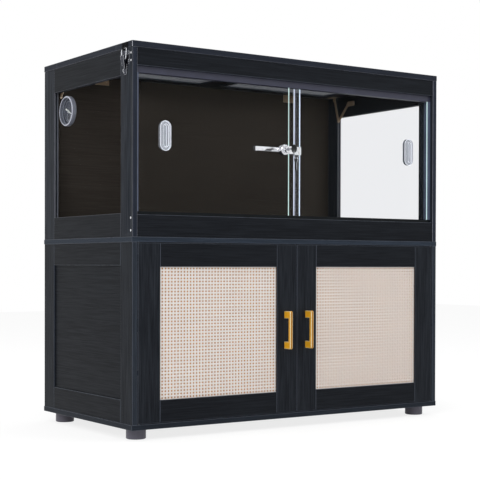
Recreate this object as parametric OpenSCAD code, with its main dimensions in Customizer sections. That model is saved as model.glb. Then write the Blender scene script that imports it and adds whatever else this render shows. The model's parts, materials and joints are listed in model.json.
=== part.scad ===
// Terrarium cabinet: a glass-fronted tank with a hinged mesh lid on a two-door stand.
// Built in cabinet coordinates: x from the left outer face, y from the front plane, z from the floor.

/* [Cabinet] */
// Width over the side frames
cabinet_width = 1200; // [900:10:1500]
// Depth over the side frames
cabinet_depth = 600; // [480:10:760]
// Thickness of the side frames and rails
side_thickness = 16; // [14:1:20]
// Width of the upright members of the side frames
side_stile = 73; // [55:1:90]
// Depth of the grooves that hold panes and panels
groove_depth = 8; // [5:1:9]
// Glue line between separate wooden members
glue_line = 0.1; // [0.05:0.05:0.2]
// How far base and deck pass the side frames
board_overhang = 2; // [0:0.5:6]

/* [Feet and base] */
// Height of the round feet
foot_height = 32; // [20:1:60]
// Diameter of the round feet
foot_diameter = 60; // [40:1:80]
// Distance of the foot axes from the sides
foot_inset_x = 46; // [42:1:80]
// Distance of the foot axes from front and back
foot_inset_y = 60; // [42:1:100]
// Chamfer at the bottom of the feet
foot_chamfer = 2; // [0.5:0.5:4]
// Thickness of the base board
base_thickness = 16; // [14:1:22]

/* [Stand] */
// Inside height of the stand
stand_height = 538; // [420:2:640]
// Lower rail of the stand sides
stand_rail_low = 69; // [50:1:90]
// Upper rail of the stand sides
stand_rail_high = 69; // [50:1:90]
// Thickness of the stand side panels
stand_panel_thickness = 6; // [4:1:8]
// How far the stand side panels lie behind the outer face
stand_panel_recess = 5; // [3:0.5:7]
// Thickness of the stand back
stand_back_thickness = 6; // [4:1:10]
// Thickness of the divider and the shelves
shelf_thickness = 16; // [14:1:22]
// Height of the shelves above the base board
shelf_height = 265; // [150:5:350]
// How far the shelves start behind the front plane
shelf_setback = 60; // [40:5:120]
// Thickness of the deck board between stand and tank
deck_thickness = 15; // [14:1:22]

/* [Doors of the stand] */
// Thickness of the doors
door_thickness = 16; // [14:1:20]
// How far the doors lie behind the front plane
door_recess = 1; // [0.5:0.5:4]
// Gap round the doors
door_gap = 2; // [1.5:0.25:4]
// Width of the upright door members
door_stile = 77; // [60:1:95]
// Lower door rail
door_rail_low = 67; // [50:1:90]
// Upper door rail
door_rail_high = 71; // [50:1:90]
// Thickness of the cane sheet
cane_thickness = 2; // [1.5:0.5:4]
// How far the cane lies behind the door face
cane_recess = 5; // [3:0.5:8]
// Distance of the pivot pins from the door's outer edge
pivot_inset = 5; // [4:0.5:7]
// Radius of the pivot pins
pivot_radius = 2.5; // [2:0.25:3]
// Length of a pivot pin inside the door
pivot_in_door = 20; // [12:1:30]
// Length of a pivot pin inside base and deck
pivot_in_board = 8; // [5:1:11]
// Thickness of the washer below each door
pivot_washer = 1.7; // [1:0.1:1.7]
// Running clearance of pins in their bores
running_clearance = 0.05; // [0.02:0.01:0.1]

/* [Bar handles] */
// Overall height of a handle
handle_height = 120; // [80:2:160]
// Square section of the handle bar
handle_section = 10; // [8:0.5:14]
// Height of the handle feet
handle_foot = 23; // [14:1:30]
// How far the handles stand out
handle_projection = 33; // [28:1:45]
// Corner radius of the handles
handle_radius = 5; // [2:0.5:5]
// Distance of the left handle from the middle of the cabinet
handle_offset_left = 45; // [30:1:60]
// Distance of the right handle from the middle of the cabinet
handle_offset_right = 38; // [30:1:60]
// Distance of the handle centres below the deck board
handle_drop = 273; // [200:1:330]

/* [Tank] */
// Height of the tank sides above the deck
tank_height = 556; // [460:2:660]
// Lower rail of the tank sides
tank_rail_low = 71; // [50:1:90]
// Upper rail of the tank sides
tank_rail_high = 77; // [60:1:95]
// Thickness of the side windows
window_thickness = 4; // [3:0.5:6]
// How far the side windows lie behind the outer face
window_recess = 6; // [4:0.5:8]
// Thickness of the tank back
tank_back_thickness = 16; // [12:1:20]
// How far the front rails lie behind the front plane
rail_recess = 3; // [0:0.5:6]
// Height of the upper front rail
top_rail_height = 52; // [40:1:70]
// Height of the lower front rail
bottom_rail_height = 66; // [50:1:90]

/* [Sliding glass] */
// Thickness of the sliding panes
pane_thickness = 5; // [4:0.5:6]
// Gap between the two panes
pane_gap = 6.5; // [6:0.25:8]
// Clearance of a pane in its channel, each side
pane_clearance = 0.5; // [0.3:0.1:0.8]
// Lift of the panes above the track floor
pane_lift = 0.3; // [0.2:0.1:0.6]
// Wall of the track profiles
track_wall = 2; // [1.5:0.25:3]
// Height of the lower track
bottom_track_height = 10; // [8:1:14]
// Height of the upper track
top_track_height = 20; // [16:1:26]
// How far the panes reach into the upper track
pane_top_entry = 12; // [8:1:14]
// How far the tracks lie behind the front plane
track_recess = 13.5; // [12:0.5:16]
// Width of the strips that stop the panes
stop_width = 11; // [8:1:14]
// Gap between a closed pane and its stop
stop_gap = 0.4; // [0.3:0.1:1]
// Overlap of the two closed panes
pane_lap = 50.8; // [46:0.2:70]
// How far the middle of the overlap lies right of the cabinet's middle
lap_shift = 4; // [-30:1:30]
// Width of a finger pull
pull_width = 38; // [30:1:46]
// Height of a finger pull
pull_height = 90; // [70:1:110]
// Depth of a finger pull
pull_depth = 12; // [8:0.5:12]
// Width of the groove in a finger pull
pull_groove = 16; // [12:1:22]
// Floor of the groove in a finger pull
pull_floor = 3; // [2:0.5:5]
// Distance of the pull centres from the sides
pull_inset = 122; // [90:1:160]
// Distance of the pull centres below the tank top
pull_drop = 252; // [180:1:320]
// Width of the edge seal on the rear pane
seal_width = 26; // [18:1:34]
// Wall of the edge seal
seal_wall = 0.8; // [0.6:0.1:1.2]

/* [Showcase lock] */
// Distance of the lock axis below the tank top
lock_drop = 271; // [200:1:340]
// Diameter of the lock housing
lock_diameter = 34; // [28:1:40]
// Distance of the lock axis from the edge of the front pane
lock_offset = 19; // [18:0.5:26]
// How far the lock housing stands out of the front pane
lock_depth = 9; // [6:0.5:14]
// Diameter of the lock barrel
barrel_diameter = 21; // [17:0.5:25]
// Length of the lock barrel
barrel_length = 13; // [8:0.5:18]
// Diameter of the turning plug
plug_diameter = 12; // [10:0.5:14]
// Overlap of the lock housing on the pane
grip_overlap = 13; // [8:1:18]
// Height of the edge grip
grip_height = 25; // [18:1:30]
// Length of the toothed bar left of the hook
bar_length = 160; // [140:2:190]
// Height of the toothed bar
bar_height = 15; // [12:0.5:18]
// Thickness of the toothed bar
bar_thickness = 2; // [1.5:0.25:2.5]
// Play of the bar in the lock housing
bar_play = 0.4; // [0.3:0.05:0.6]
// Pitch of the teeth
tooth_pitch = 4; // [3:0.5:6]
// Depth of the teeth
tooth_depth = 1.8; // [1:0.1:2.5]
// Number of teeth
tooth_count = 26; // [16:1:28]
// Height of the hook on the rear pane
hook_height = 27; // [22:1:32]
// Return of the hook behind the rear pane
hook_return = 14; // [8:1:20]
// Wall of the hook
hook_wall = 1.8; // [1.2:0.1:2.4]
// Length of the black bar tip
tip_length = 9; // [6:1:14]

/* [Keys] */
// Length of the key blade outside the plug
key_reach = 19; // [14:0.5:24]
// Width of a key blade
key_blade_width = 7; // [5:0.5:8]
// Thickness of a key blade
key_blade_thickness = 2; // [1.5:0.25:2.5]
// Radius of the key head
key_head_radius = 13; // [12:0.5:15]
// Thickness of the key head
key_head_thickness = 3; // [2.5:0.25:3.25]
// Distance of the ring hole from the key axis
key_hole_offset = 9; // [8.5:0.25:9]
// Radius of the ring hole
key_hole_radius = 2.4; // [2.4:0.1:2.6]
// Radius of the key ring
key_ring_radius = 11; // [11:0.5:13]
// Wire radius of the key ring
key_ring_wire = 0.7; // [0.5:0.1:0.8]
// Radius of the spare key's head
spare_head_radius = 9; // [8:0.5:11]
// Length of the spare key's blade
spare_blade_length = 24; // [18:1:32]

/* [Lid] */
// Thickness of the lid
lid_thickness = 18; // [16:1:22]
// Gap under the closed lid
lid_gap = 0.3; // [0.2:0.1:0.6]
// How far the lid passes the side frames
lid_overhang = 1.5; // [1:0.5:3]
// Width of the outer lid members
lid_rim = 100; // [80:1:120]
// Depth of the rear lid member
lid_rear_rim = 95; // [80:1:120]
// Width of the middle lid member
lid_middle = 100; // [80:1:120]
// Thickness of the mesh
mesh_thickness = 1.2; // [0.8:0.1:2]
// Overlap of the mesh on the lid
mesh_overlap = 8; // [5:1:12]
// Width of the strips that hold the mesh
trim_width = 14; // [10:1:20]
// Thickness of the strips that hold the mesh
trim_thickness = 4; // [3:0.5:6]

/* [Lid hinges] */
// Distance of the lid hinges from the sides
hinge_inset = 205; // [150:5:260]
// Length of a lid hinge
hinge_length = 54; // [44:1:64]
// Height of the inner hinge leaf
hinge_leaf_height = 27; // [20:1:34]
// Thickness of the hinge leaves
hinge_leaf = 1.5; // [1:0.25:2]
// Radius of the hinge barrel
hinge_barrel = 3.2; // [2.8:0.1:3.6]
// Radius of the hinge pin
hinge_pin = 1.5; // [1.2:0.1:1.8]
// Distance of the hinge axis behind the back
hinge_setback = 3.8; // [3.8:0.1:4.6]
// End play between hinge knuckles
hinge_play = 0.4; // [0.3:0.1:0.6]

/* [Lid stays] */
// Distance of the wall pivot from the back face
stay_wall_inset = 140; // [130:1:160]
// Distance of the wall pivot below the tank top
stay_wall_drop = 31; // [24:1:40]
// Distance of the lid pivot from the back face
stay_lid_inset = 62; // [55:1:70]
// Distance of the lid pivot below the lid
stay_lid_drop = 10; // [8:0.5:14]
// Length of the lower arm between pivots
stay_lower = 82.5; // [81:0.5:90]
// Length of the upper arm between pivots
stay_upper = 84; // [82:0.5:90]
// Width of the arms
stay_width = 10; // [8:0.5:13]
// Thickness of the arms and brackets
stay_plate = 2; // [1.5:0.25:2.5]
// Gap between neighbouring stay plates
stay_play = 0.4; // [0.3:0.1:0.6]
// Radius of the stay pivots
stay_pin = 2.5; // [2:0.25:3]

/* [Draw latches] */
// Distance of the latches from the front plane
latch_y = 43; // [36:1:60]
// Width of the latch base
latch_width = 50; // [40:1:56]
// Height of the latch base
latch_height = 42; // [34:1:46]
// Thickness of the latch plates
latch_plate = 2; // [1.5:0.25:2.5]
// Top of the latch base below the tank top
latch_drop = 7; // [6:0.5:10]
// Distance of the lever pivot below the top of the latch base
lever_drop = 18.5; // [16:0.5:20]
// Distance of the lever pivot from the side face
lever_out = 8; // [7.5:0.25:9]
// Distance between lever pivot and bail pivot
bail_throw = 8; // [7.5:0.25:9]
// Length of the lever below its pivot
lever_length = 34; // [28:1:40]
// Radius of the lever round its pivot
lever_eye = 4.4; // [4:0.2:5]
// Width of the lever at its pivot
lever_width = 16; // [12:0.5:18]
// Width of the lever at its tip
lever_tip_width = 8; // [6:0.5:12]
// Wire radius of the bail
bail_wire = 1.4; // [1.1:0.1:1.5]
// Width of the bail between wire centres
bail_width = 28; // [25:1:32]
// Bend radius of the bail
bail_bend = 3; // [2:0.5:3.5]
// Width of the catch hook
catch_hook = 12; // [9:1:16]
// Width of the catch plate
catch_width = 36; // [30:1:44]
// Height of the catch plate on the lid
catch_height = 15; // [12:0.5:16]
// Screw head radius
screw_head = 3.6; // [3:0.2:4.5]
// Screw head height
screw_dome = 1.2; // [0.8:0.1:2]
// Shank radius of the side screws
screw_shank = 2; // [1.5:0.25:2.5]
// Shank length of the side screws
screw_length = 12; // [8:1:14]

/* [Dial gauge] */
// Distance of the gauge centre from the back face
gauge_inset = 178; // [140:1:400]
// Distance of the gauge centre below the tank top
gauge_drop = 147; // [140:1:300]
// Diameter of the gauge
gauge_diameter = 96; // [70:2:110]
// Depth of the gauge
gauge_depth = 16; // [14:0.5:20]
// Wall of the gauge case
gauge_wall = 3; // [2:0.25:4]
// Pointer angle below the horizontal
gauge_reading = 25; // [0:5:90]
// Length of the pointer in front of its hub
pointer_length = 32; // [20:1:34]
// Length of the pointer's tail
pointer_tail = 20; // [12:1:24]
// Radius of the pointer's pin
pointer_pin = 1.5; // [1:0.1:2]

/* [Hidden] */
$fn = 72;

// Levels
base_z = foot_height;
stand_z = base_z + base_thickness;
deck_z = stand_z + stand_height;
tank_z = deck_z + deck_thickness;
tank_top = tank_z + tank_height;
lid_z = tank_top + lid_gap;
lid_top = lid_z + lid_thickness;
pull_level = tank_top - pull_drop;
lock_level = tank_top - lock_drop;
gauge_level = tank_top - gauge_drop;
inner_right = cabinet_width - side_thickness;
middle_x = cabinet_width / 2;
back_y = cabinet_depth - tank_back_thickness;

// Sliding glass
front_channel = track_recess + track_wall;
front_pane_y = front_channel + pane_clearance;
rear_pane_y = front_pane_y + pane_thickness + pane_gap;
track_back = rear_pane_y + pane_thickness + pane_clearance + track_wall;
rail_y = rail_recess + side_thickness;
bottom_rail_top = tank_z + bottom_rail_height;
top_rail_bottom = tank_top - top_rail_height;
glass_low = bottom_rail_top + bottom_track_height;
glass_high = top_rail_bottom - top_track_height;
pane_z = bottom_rail_top + track_wall + pane_lift;
pane_top = glass_high + pane_top_entry;
front_pane_right = inner_right - stop_width - stop_gap;
front_pane_left = middle_x + lap_shift - pane_lap / 2;
rear_pane_left = side_thickness + stop_width + stop_gap;
rear_pane_right = middle_x + lap_shift + pane_lap / 2;

// Lock and keys
lock_x = front_pane_left - lock_offset;
lock_face_y = front_pane_y - lock_depth;
barrel_face_y = lock_face_y - barrel_length;
bar_y = rear_pane_y - 2.4 - bar_thickness;
bar_front = bar_y - bar_play;
bar_back = bar_y + bar_thickness + bar_play;
housing_wall = 1.4;
seal_edge = rear_pane_right + seal_wall;
hook_front = rear_pane_right - seal_width;
bar_left = hook_front - bar_length;
key_head_y = barrel_face_y - key_reach - key_head_radius + 1;
key_front = key_head_y - key_head_radius;
key_hole_z = lock_level - key_hole_offset;
ring_x = lock_x + key_ring_radius * sin(45);
ring_z = key_hole_z - key_ring_radius * cos(45);
spare_hole = 3;
spare_rim = 1.6;
ring_rest = 0.1;
spare_z = ring_z - key_ring_radius + key_ring_wire + ring_rest - spare_head_radius + spare_rim;

// Whole-part placing: the box round the part is centred on the origin
hinge_out = hinge_setback + hinge_barrel;
front_y = (-key_front - cabinet_depth - hinge_out) / 2;

// Stays
stay_wall = [cabinet_depth - stay_wall_inset, tank_top - stay_wall_drop];
stay_lid = [cabinet_depth - stay_lid_inset, lid_z - stay_lid_drop];
stay_span = norm(stay_lid - stay_wall);
stay_dir = (stay_lid - stay_wall) / stay_span;
stay_foot = (pow(stay_lower, 2) - pow(stay_upper, 2) + pow(stay_span, 2)) / (2 * stay_span);
stay_dip = sqrt(pow(stay_lower, 2) - pow(stay_foot, 2));
stay_knee = stay_wall + stay_dir * stay_foot + [stay_dir[1], -stay_dir[0]] * stay_dip;
lower_arm_x = side_thickness + stay_plate + stay_play;
upper_arm_x = lower_arm_x + stay_plate + stay_play;
flange_x = upper_arm_x + stay_plate + stay_play;
rivet = 1.1;
knee_rivet = 3.4;
pivot_rivet = 4;
rivet_rise = 0.9;
stay_plate_length = 42;
stay_plate_height = 18;
stay_plate_shift = 12;
stay_screw_first = 10.5;
stay_screw_pitch = 16;
stay_boss = 7;
stay_shoe_length = 36;
stay_shoe_width = 20;
stay_shoe_screw = 11;
plate_corner = 4;

// Latches
latch_top = tank_top - latch_drop;
lever_z = latch_top - lever_drop;
bail_z = lever_z - bail_throw;
catch_plate = 1.5;
catch_low = lid_z + (lid_thickness - catch_height) / 2;
catch_out = lid_overhang + catch_plate;
hook_floor = tank_top - 4.8;
hook_wall_t = 1.5;
bail_top_x = catch_out + 0.4 + bail_wire;
bail_top_z = hook_floor + hook_wall_t + 0.3 + bail_wire;
hook_lip = bail_top_x + bail_wire + 2.4;
staple_drop = 60;
staple_radius = 6.4;
staple_wire = 1.3;
ear_gap = 0.4;
ear_wall = 1.6;
ear_radius = 5;
lever_pin = 2;
tongue_width = 20;
tongue_length = 34;
tongue_lap = 5;
latch_screw_inset = 5;
latch_screw_drop = 10;

// Hinges
hinge_y = cabinet_depth + hinge_setback;
hinge_z = tank_top + lid_gap / 2;
hinge_third = hinge_length * 0.3;

// Doors
door_left_x = side_thickness + door_gap;
door_width = middle_x - door_gap / 2 - door_left_x;
door_low = stand_z + door_gap;
door_high = deck_z - door_gap;
pivot_x = door_left_x + pivot_inset;
pivot_y = door_recess + pivot_inset;
divider_y = door_recess + door_thickness + 1;

// Gauge
gauge_radius = gauge_diameter / 2;
dial_radius = gauge_radius - gauge_wall;
gauge_floor = 3;
dial_sheet = 1.2;
lens_sheet = 1.5;
bezel_lip = 2;
lens_base = gauge_depth - 1.4 - lens_sheet;
pointer_base = gauge_floor + dial_sheet + 1.2;
pointer_hub = 2.6;

module seat() { translate([-cabinet_width / 2, front_y, 0]) children(); }
module other_side() { translate([cabinet_width, 0, 0]) mirror([1, 0, 0]) children(); }
module both_sides() { children(); other_side() children(); }
module box(low, high) { translate(low) cube(high - low); }
// a (y, z) outline pushed along +X
module along_x(x, length) { translate([x, 0, 0]) rotate([90, 0, 90]) linear_extrude(length) children(); }
// an (x, z) outline pushed along +Y
module along_y(y, length) {
  translate([0, y + length, 0]) rotate([90, 0, 0]) linear_extrude(length) children();
}
module rod_x(x, y, z, length, radius) { translate([x, y, z]) rotate([0, 90, 0]) cylinder(length, r = radius); }
module rod_y(x, y, z, length, radius) { translate([x, y, z]) rotate([-90, 0, 0]) cylinder(length, r = radius); }
// rectangle with round corners, centred
module rounded(size, radius) {
  square([size[0] - 2 * radius, size[1]], center = true);
  square([size[0], size[1] - 2 * radius], center = true);
  for (i = [-1, 1], j = [-1, 1])
    translate([i * (size[0] / 2 - radius), j * (size[1] / 2 - radius)]) circle(radius);
}
// upright slot outline with round ends, centred
module stadium(width, height) {
  square([width, height - width], center = true);
  for (j = [-1, 1]) translate([0, j * (height - width) / 2]) circle(width / 2);
}
// domed screw head with its flat side at z = 0
module screw_cap() {
  rotate_extrude() intersection() {
    square([screw_head, screw_dome]);
    translate([0, screw_dome - 2 * screw_head]) circle(2 * screw_head);
  }
}

// Side frames: two stiles and two rails round a grooved-in sheet
module side_sheet(low, high, recess, thickness) {
  box([recess, side_stile - groove_depth, low - groove_depth],
      [recess + thickness, cabinet_depth - side_stile + groove_depth, high + groove_depth]);
}
module side_frame(low, high, rail_low, rail_high) {
  rail_front = side_stile + glue_line;
  rail_rear = cabinet_depth - side_stile - glue_line;
  box([0, 0, low], [side_thickness, side_stile, high]);
  box([0, cabinet_depth - side_stile, low], [side_thickness, cabinet_depth, high]);
  box([0, rail_front, low], [side_thickness, rail_rear, low + rail_low]);
  box([0, rail_front, high - rail_high], [side_thickness, rail_rear, high]);
}
module stand_panel() {
  side_sheet(stand_z + stand_rail_low, deck_z - stand_rail_high, stand_panel_recess, stand_panel_thickness);
}
module stand_frame() {
  difference() {
    side_frame(stand_z, deck_z, stand_rail_low, stand_rail_high);
    stand_panel();
  }
}
module tank_window() {
  side_sheet(tank_z + tank_rail_low, tank_top - tank_rail_high, window_recess, window_thickness);
}
side_screw_levels = [tank_top - 17, tank_top - 39, bottom_rail_top - 10, bottom_rail_top - 47];
module screw_places() {
  for (z = side_screw_levels) translate([0, rail_recess + side_thickness / 2, z]) rotate([0, 90, 0]) children();
}
module tank_frame() {
  difference() {
    side_frame(tank_z, tank_top, tank_rail_low, tank_rail_high);
    tank_window();
    screw_places() cylinder(screw_length, r = screw_shank);
  }
}

module base_board() {
  color("#2a2d33") difference() {
    box([-board_overhang, 0, base_z], [cabinet_width + board_overhang, cabinet_depth, stand_z]);
    both_sides() translate([pivot_x, pivot_y, stand_z - pivot_in_board - running_clearance])
      cylinder(pivot_in_board + 1, r = pivot_radius + running_clearance);
  }
}
module feet() {
  color("#35353a") both_sides() for (y = [foot_inset_y, cabinet_depth - foot_inset_y])
    translate([foot_inset_x, y, 0]) rotate_extrude() polygon([
      [0, 0], [foot_diameter / 2 - foot_chamfer, 0], [foot_diameter / 2, foot_chamfer],
      [foot_diameter / 2, foot_height], [0, foot_height]]);
}
module deck_board() {
  color("#2a2d33") difference() {
    box([-board_overhang, 0, deck_z], [cabinet_width + board_overhang, cabinet_depth, tank_z]);
    both_sides() translate([pivot_x, pivot_y, deck_z - 1])
      cylinder(pivot_in_board + 1 + running_clearance, r = pivot_radius + running_clearance);
  }
}
module stand_left_frame() { color("#26292e") stand_frame(); }
module stand_right_frame() { color("#26292e") other_side() stand_frame(); }
module stand_side_panels() { color("#2c3036") both_sides() stand_panel(); }
module stand_back() {
  color("#222427") box([side_thickness, cabinet_depth - stand_back_thickness, stand_z],
    [inner_right, cabinet_depth, deck_z]);
}
module stand_divider() {
  color("#222427") box([middle_x - shelf_thickness / 2, divider_y, stand_z],
    [middle_x + shelf_thickness / 2, cabinet_depth - stand_back_thickness, deck_z]);
}
module stand_shelves() {
  color("#222427") both_sides() box([side_thickness, shelf_setback, stand_z + shelf_height],
    [middle_x - shelf_thickness / 2, cabinet_depth - stand_back_thickness,
     stand_z + shelf_height + shelf_thickness]);
}

module tank_left_frame() { color("#26292e") tank_frame(); }
module tank_right_frame() { color("#26292e") other_side() tank_frame(); }
module tank_side_windows() { color("#bcd6d2", 0.4) both_sides() tank_window(); }
module tank_back() {
  color("#1f1d1b") difference() {
    box([side_thickness, back_y, tank_z], [inner_right, cabinet_depth, tank_top]);
    both_sides() box([hinge_inset - hinge_length / 2, back_y, tank_top - hinge_leaf],
      [hinge_inset + hinge_length / 2, cabinet_depth, tank_top]);
  }
}
module front_top_rail() {
  color("#2a2d33") along_x(side_thickness, inner_right - side_thickness) polygon([
    [rail_recess, top_rail_bottom], [track_back, top_rail_bottom],
    [track_back, top_rail_bottom + side_thickness], [rail_y, top_rail_bottom + side_thickness],
    [rail_y, tank_top], [rail_recess, tank_top]]);
}
module front_bottom_rail() {
  color("#2a2d33") along_x(side_thickness, inner_right - side_thickness) polygon([
    [rail_recess, tank_z], [rail_y, tank_z], [rail_y, bottom_rail_top - side_thickness],
    [track_back, bottom_rail_top - side_thickness], [track_back, bottom_rail_top],
    [rail_recess, bottom_rail_top]]);
}
// E profile with two pane channels; the floor lies at 0 and the lips reach up to height
module track_profile(height) {
  difference() {
    translate([track_recess, 0]) square([track_back - track_recess, height]);
    for (y = [front_pane_y, rear_pane_y]) translate([y - pane_clearance, track_wall])
      square([pane_thickness + 2 * pane_clearance, height]);
  }
}
module top_track() {
  color("#3a3b40") along_x(side_thickness, inner_right - side_thickness)
    translate([0, top_rail_bottom]) mirror([0, 1]) track_profile(top_track_height);
}
module bottom_track() {
  color("#3a3b40") along_x(side_thickness, inner_right - side_thickness)
    translate([0, bottom_rail_top]) track_profile(bottom_track_height);
}
module pane_stops() {
  color("#1d1e21") both_sides() box([side_thickness, track_recess, glass_low],
    [side_thickness + stop_width, track_back, glass_high]);
}
module side_screws() {
  color("#d8d8da") both_sides() screw_places() {
    cylinder(screw_length, r = screw_shank);
    mirror([0, 0, 1]) screw_cap();
  }
}

// Draw latch, left side; the side's outer face is x = 0 and the latch stands out to -x
module latch_base() {
  along_x(-latch_plate, latch_plate) {
    translate([latch_y, latch_top - latch_height / 2]) rounded([latch_width, latch_height], plate_corner);
    translate([latch_y, latch_top - latch_height + tongue_lap - tongue_length / 2])
      rounded([tongue_width, tongue_length], plate_corner);
  }
  for (y = [-1, 1], z = [latch_screw_drop, latch_height - latch_screw_drop])
    translate([-latch_plate, latch_y + y * (latch_width / 2 - latch_screw_inset), latch_top - z])
      rotate([0, -90, 0]) screw_cap();
  for (y = [-1, 1]) along_y(latch_y + y * (lever_width / 2 + ear_gap + ear_wall / 2) - ear_wall / 2, ear_wall) {
    translate([-lever_out, lever_z]) circle(ear_radius);
    translate([-lever_out, lever_z - ear_radius]) square([lever_out - latch_plate / 2, 2 * ear_radius]);
  }
  rod_y(-lever_out, latch_y - lever_width / 2 - ear_gap - ear_wall, lever_z,
    lever_width + 2 * (ear_gap + ear_wall), lever_pin);
}
module latch_bases() { color("#c9cacd") both_sides() latch_base(); }
// half ring for a padlock, welded to the tongue of the base
module latch_staple() {
  translate([-latch_plate, latch_y, latch_top - staple_drop]) rotate([90, 0, 0]) rotate([0, 0, 90])
    rotate_extrude(angle = 180) translate([staple_radius, 0]) circle(staple_wire);
}
module latch_staples() { color("#c9cacd") both_sides() latch_staple(); }
module latch_lever() {
  half = lever_width / 2;
  tip = lever_z - lever_length;
  neck = bail_z - 4;
  slope = (half - lever_tip_width / 2) / (neck - tip);
  color("#c9cacd") difference() {
    union() {
      rod_y(-lever_out, latch_y - half, lever_z, lever_width, lever_eye);
      intersection() {
        along_y(latch_y - half - 1, lever_width + 2) polygon([
          [-lever_out - lever_eye + 0.9, lever_z + 1], [-lever_out + lever_eye - 0.9, lever_z + 1],
          [-lever_out + lever_eye - 0.8, bail_z], [-latch_plate - 1, tip + 2], [-latch_plate - 1.4, tip],
          [-latch_plate - 3.6, tip], [-lever_out - lever_eye + 0.8, bail_z - 3],
          [-lever_out - lever_eye + 0.2, bail_z]]);
        along_x(-lever_out - 2 * lever_eye, lever_out + 2 * lever_eye) polygon([
          [latch_y - half, lever_z + 2 * lever_eye], [latch_y + half, lever_z + 2 * lever_eye],
          [latch_y + half, neck], [latch_y + lever_tip_width / 2 - slope, tip - 1],
          [latch_y - lever_tip_width / 2 + slope, tip - 1], [latch_y - half, neck]]);
      }
    }
    rod_y(-lever_out, latch_y - lever_width, lever_z, 2 * lever_width, lever_pin + running_clearance);
    rod_y(-lever_out, latch_y - lever_width, bail_z, 2 * lever_width, bail_wire + running_clearance);
  }
}
module latch_lever_left() { latch_lever(); }
module latch_lever_right() { other_side() latch_lever(); }
// wire bail drawn flat, its legs along x from the pivot at 0, then tilted to the hook
module wire_bend(x, y, start) {
  translate([x, y, 0]) rotate(start) rotate_extrude(angle = 90) translate([bail_bend, 0]) circle(bail_wire);
}
module latch_bail() {
  half = bail_width / 2;
  reach = norm([lever_out - bail_top_x, bail_top_z - bail_z]);
  tilt = atan2(lever_out - bail_top_x, bail_top_z - bail_z);
  color("#d4d5d8") translate([-lever_out, latch_y, bail_z]) rotate([0, tilt - 90, 0]) {
    for (s = [0, 1]) mirror([0, s, 0]) {
      rod_y(0, lever_width / 2 - 4, 0, half - bail_bend - lever_width / 2 + 4, bail_wire);
      wire_bend(bail_bend, half - bail_bend, 90);
      rod_x(bail_bend, half, 0, reach - 2 * bail_bend, bail_wire);
      wire_bend(reach - bail_bend, half - bail_bend, 0);
    }
    rod_y(reach, bail_bend - half, 0, 2 * (half - bail_bend), bail_wire);
  }
}
module latch_bail_left() { latch_bail(); }
module latch_bail_right() { other_side() latch_bail(); }
module latch_catch() {
  along_x(-catch_out, catch_plate) translate([latch_y, catch_low + catch_height / 2])
    rounded([catch_width, catch_height], 3);
  along_y(latch_y - catch_hook / 2, catch_hook) polygon([
    [-lid_overhang, catch_low + 3], [-catch_out, catch_low + 3], [-catch_out, hook_floor + hook_wall_t],
    [-hook_lip, hook_floor + hook_wall_t], [-hook_lip, bail_top_z + 1],
    [-hook_lip - hook_wall_t, bail_top_z + 1], [-hook_lip - hook_wall_t, hook_floor + 1],
    [-hook_lip - hook_wall_t + 1, hook_floor], [-lid_overhang, hook_floor]]);
  for (y = [-1, 1]) translate([-catch_out, latch_y + y * catch_width / 4, catch_low + catch_height / 2])
    rotate([0, -90, 0]) screw_cap();
}
module latch_catches() { color("#c9cacd") both_sides() latch_catch(); }

// Lid
module lid_window(x) {
  translate([x, lid_rim]) square([(cabinet_width - lid_middle) / 2 - lid_rim, cabinet_depth - lid_rear_rim - lid_rim]);
}
lid_window_w = (cabinet_width - lid_middle) / 2 - lid_rim;
lid_window_d = cabinet_depth - lid_rear_rim - lid_rim;
module lid_board() {
  bar_front_y = lid_rim + glue_line;
  bar_rear_y = cabinet_depth - lid_rear_rim - glue_line;
  color("#2f333a") {
    box([-lid_overhang, 0, lid_z], [cabinet_width + lid_overhang, lid_rim, lid_top]);
    box([-lid_overhang, cabinet_depth - lid_rear_rim, lid_z], [cabinet_width + lid_overhang, cabinet_depth, lid_top]);
    both_sides() box([-lid_overhang, bar_front_y, lid_z], [lid_rim, bar_rear_y, lid_top]);
    box([middle_x - lid_middle / 2, bar_front_y, lid_z], [middle_x + lid_middle / 2, bar_rear_y, lid_top]);
  }
}
// the fine net is drawn as one thin closed sheet
module mesh_sheet() {
  box([lid_rim - mesh_overlap, lid_rim - mesh_overlap, lid_z - mesh_thickness],
    [lid_rim + lid_window_w + mesh_overlap, lid_rim + lid_window_d + mesh_overlap, lid_z]);
}
module lid_meshes() { color("#8e9296") both_sides() mesh_sheet(); }
module mesh_trim() {
  translate([lid_rim, lid_rim, lid_z - mesh_thickness - trim_thickness]) linear_extrude(trim_thickness) difference() {
    translate([-trim_width, -trim_width]) square([lid_window_w + 2 * trim_width, lid_window_d + 2 * trim_width]);
    square([lid_window_w, lid_window_d]);
  }
}
module lid_mesh_trims() { color("#26292e") both_sides() mesh_trim(); }

// Lid hinge: the fixed leaf lies inside on the back and folds over its top to the barrel
module hinge_fixed() {
  left = hinge_inset - hinge_length / 2;
  right = hinge_inset + hinge_length / 2;
  box([left, back_y - hinge_leaf, tank_top - hinge_leaf_height], [right, back_y, tank_top]);
  box([left, back_y - hinge_leaf, tank_top - hinge_leaf], [right, cabinet_depth, tank_top]);
  for (x = [left, right - hinge_third]) {
    box([x, cabinet_depth - 1, tank_top - hinge_leaf], [x + hinge_third, hinge_y, tank_top]);
    rod_x(x, hinge_y, hinge_z, hinge_third, hinge_barrel);
  }
  rod_x(left, hinge_y, hinge_z, hinge_length, hinge_pin);
  for (x = [-1, 1]) translate([hinge_inset + x * hinge_length * 0.33, back_y - hinge_leaf,
    tank_top - hinge_leaf_height / 2]) rotate([90, 0, 0]) screw_cap();
}
module lid_hinge_fixed_leaves() { color("#8a6448") both_sides() hinge_fixed(); }
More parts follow.
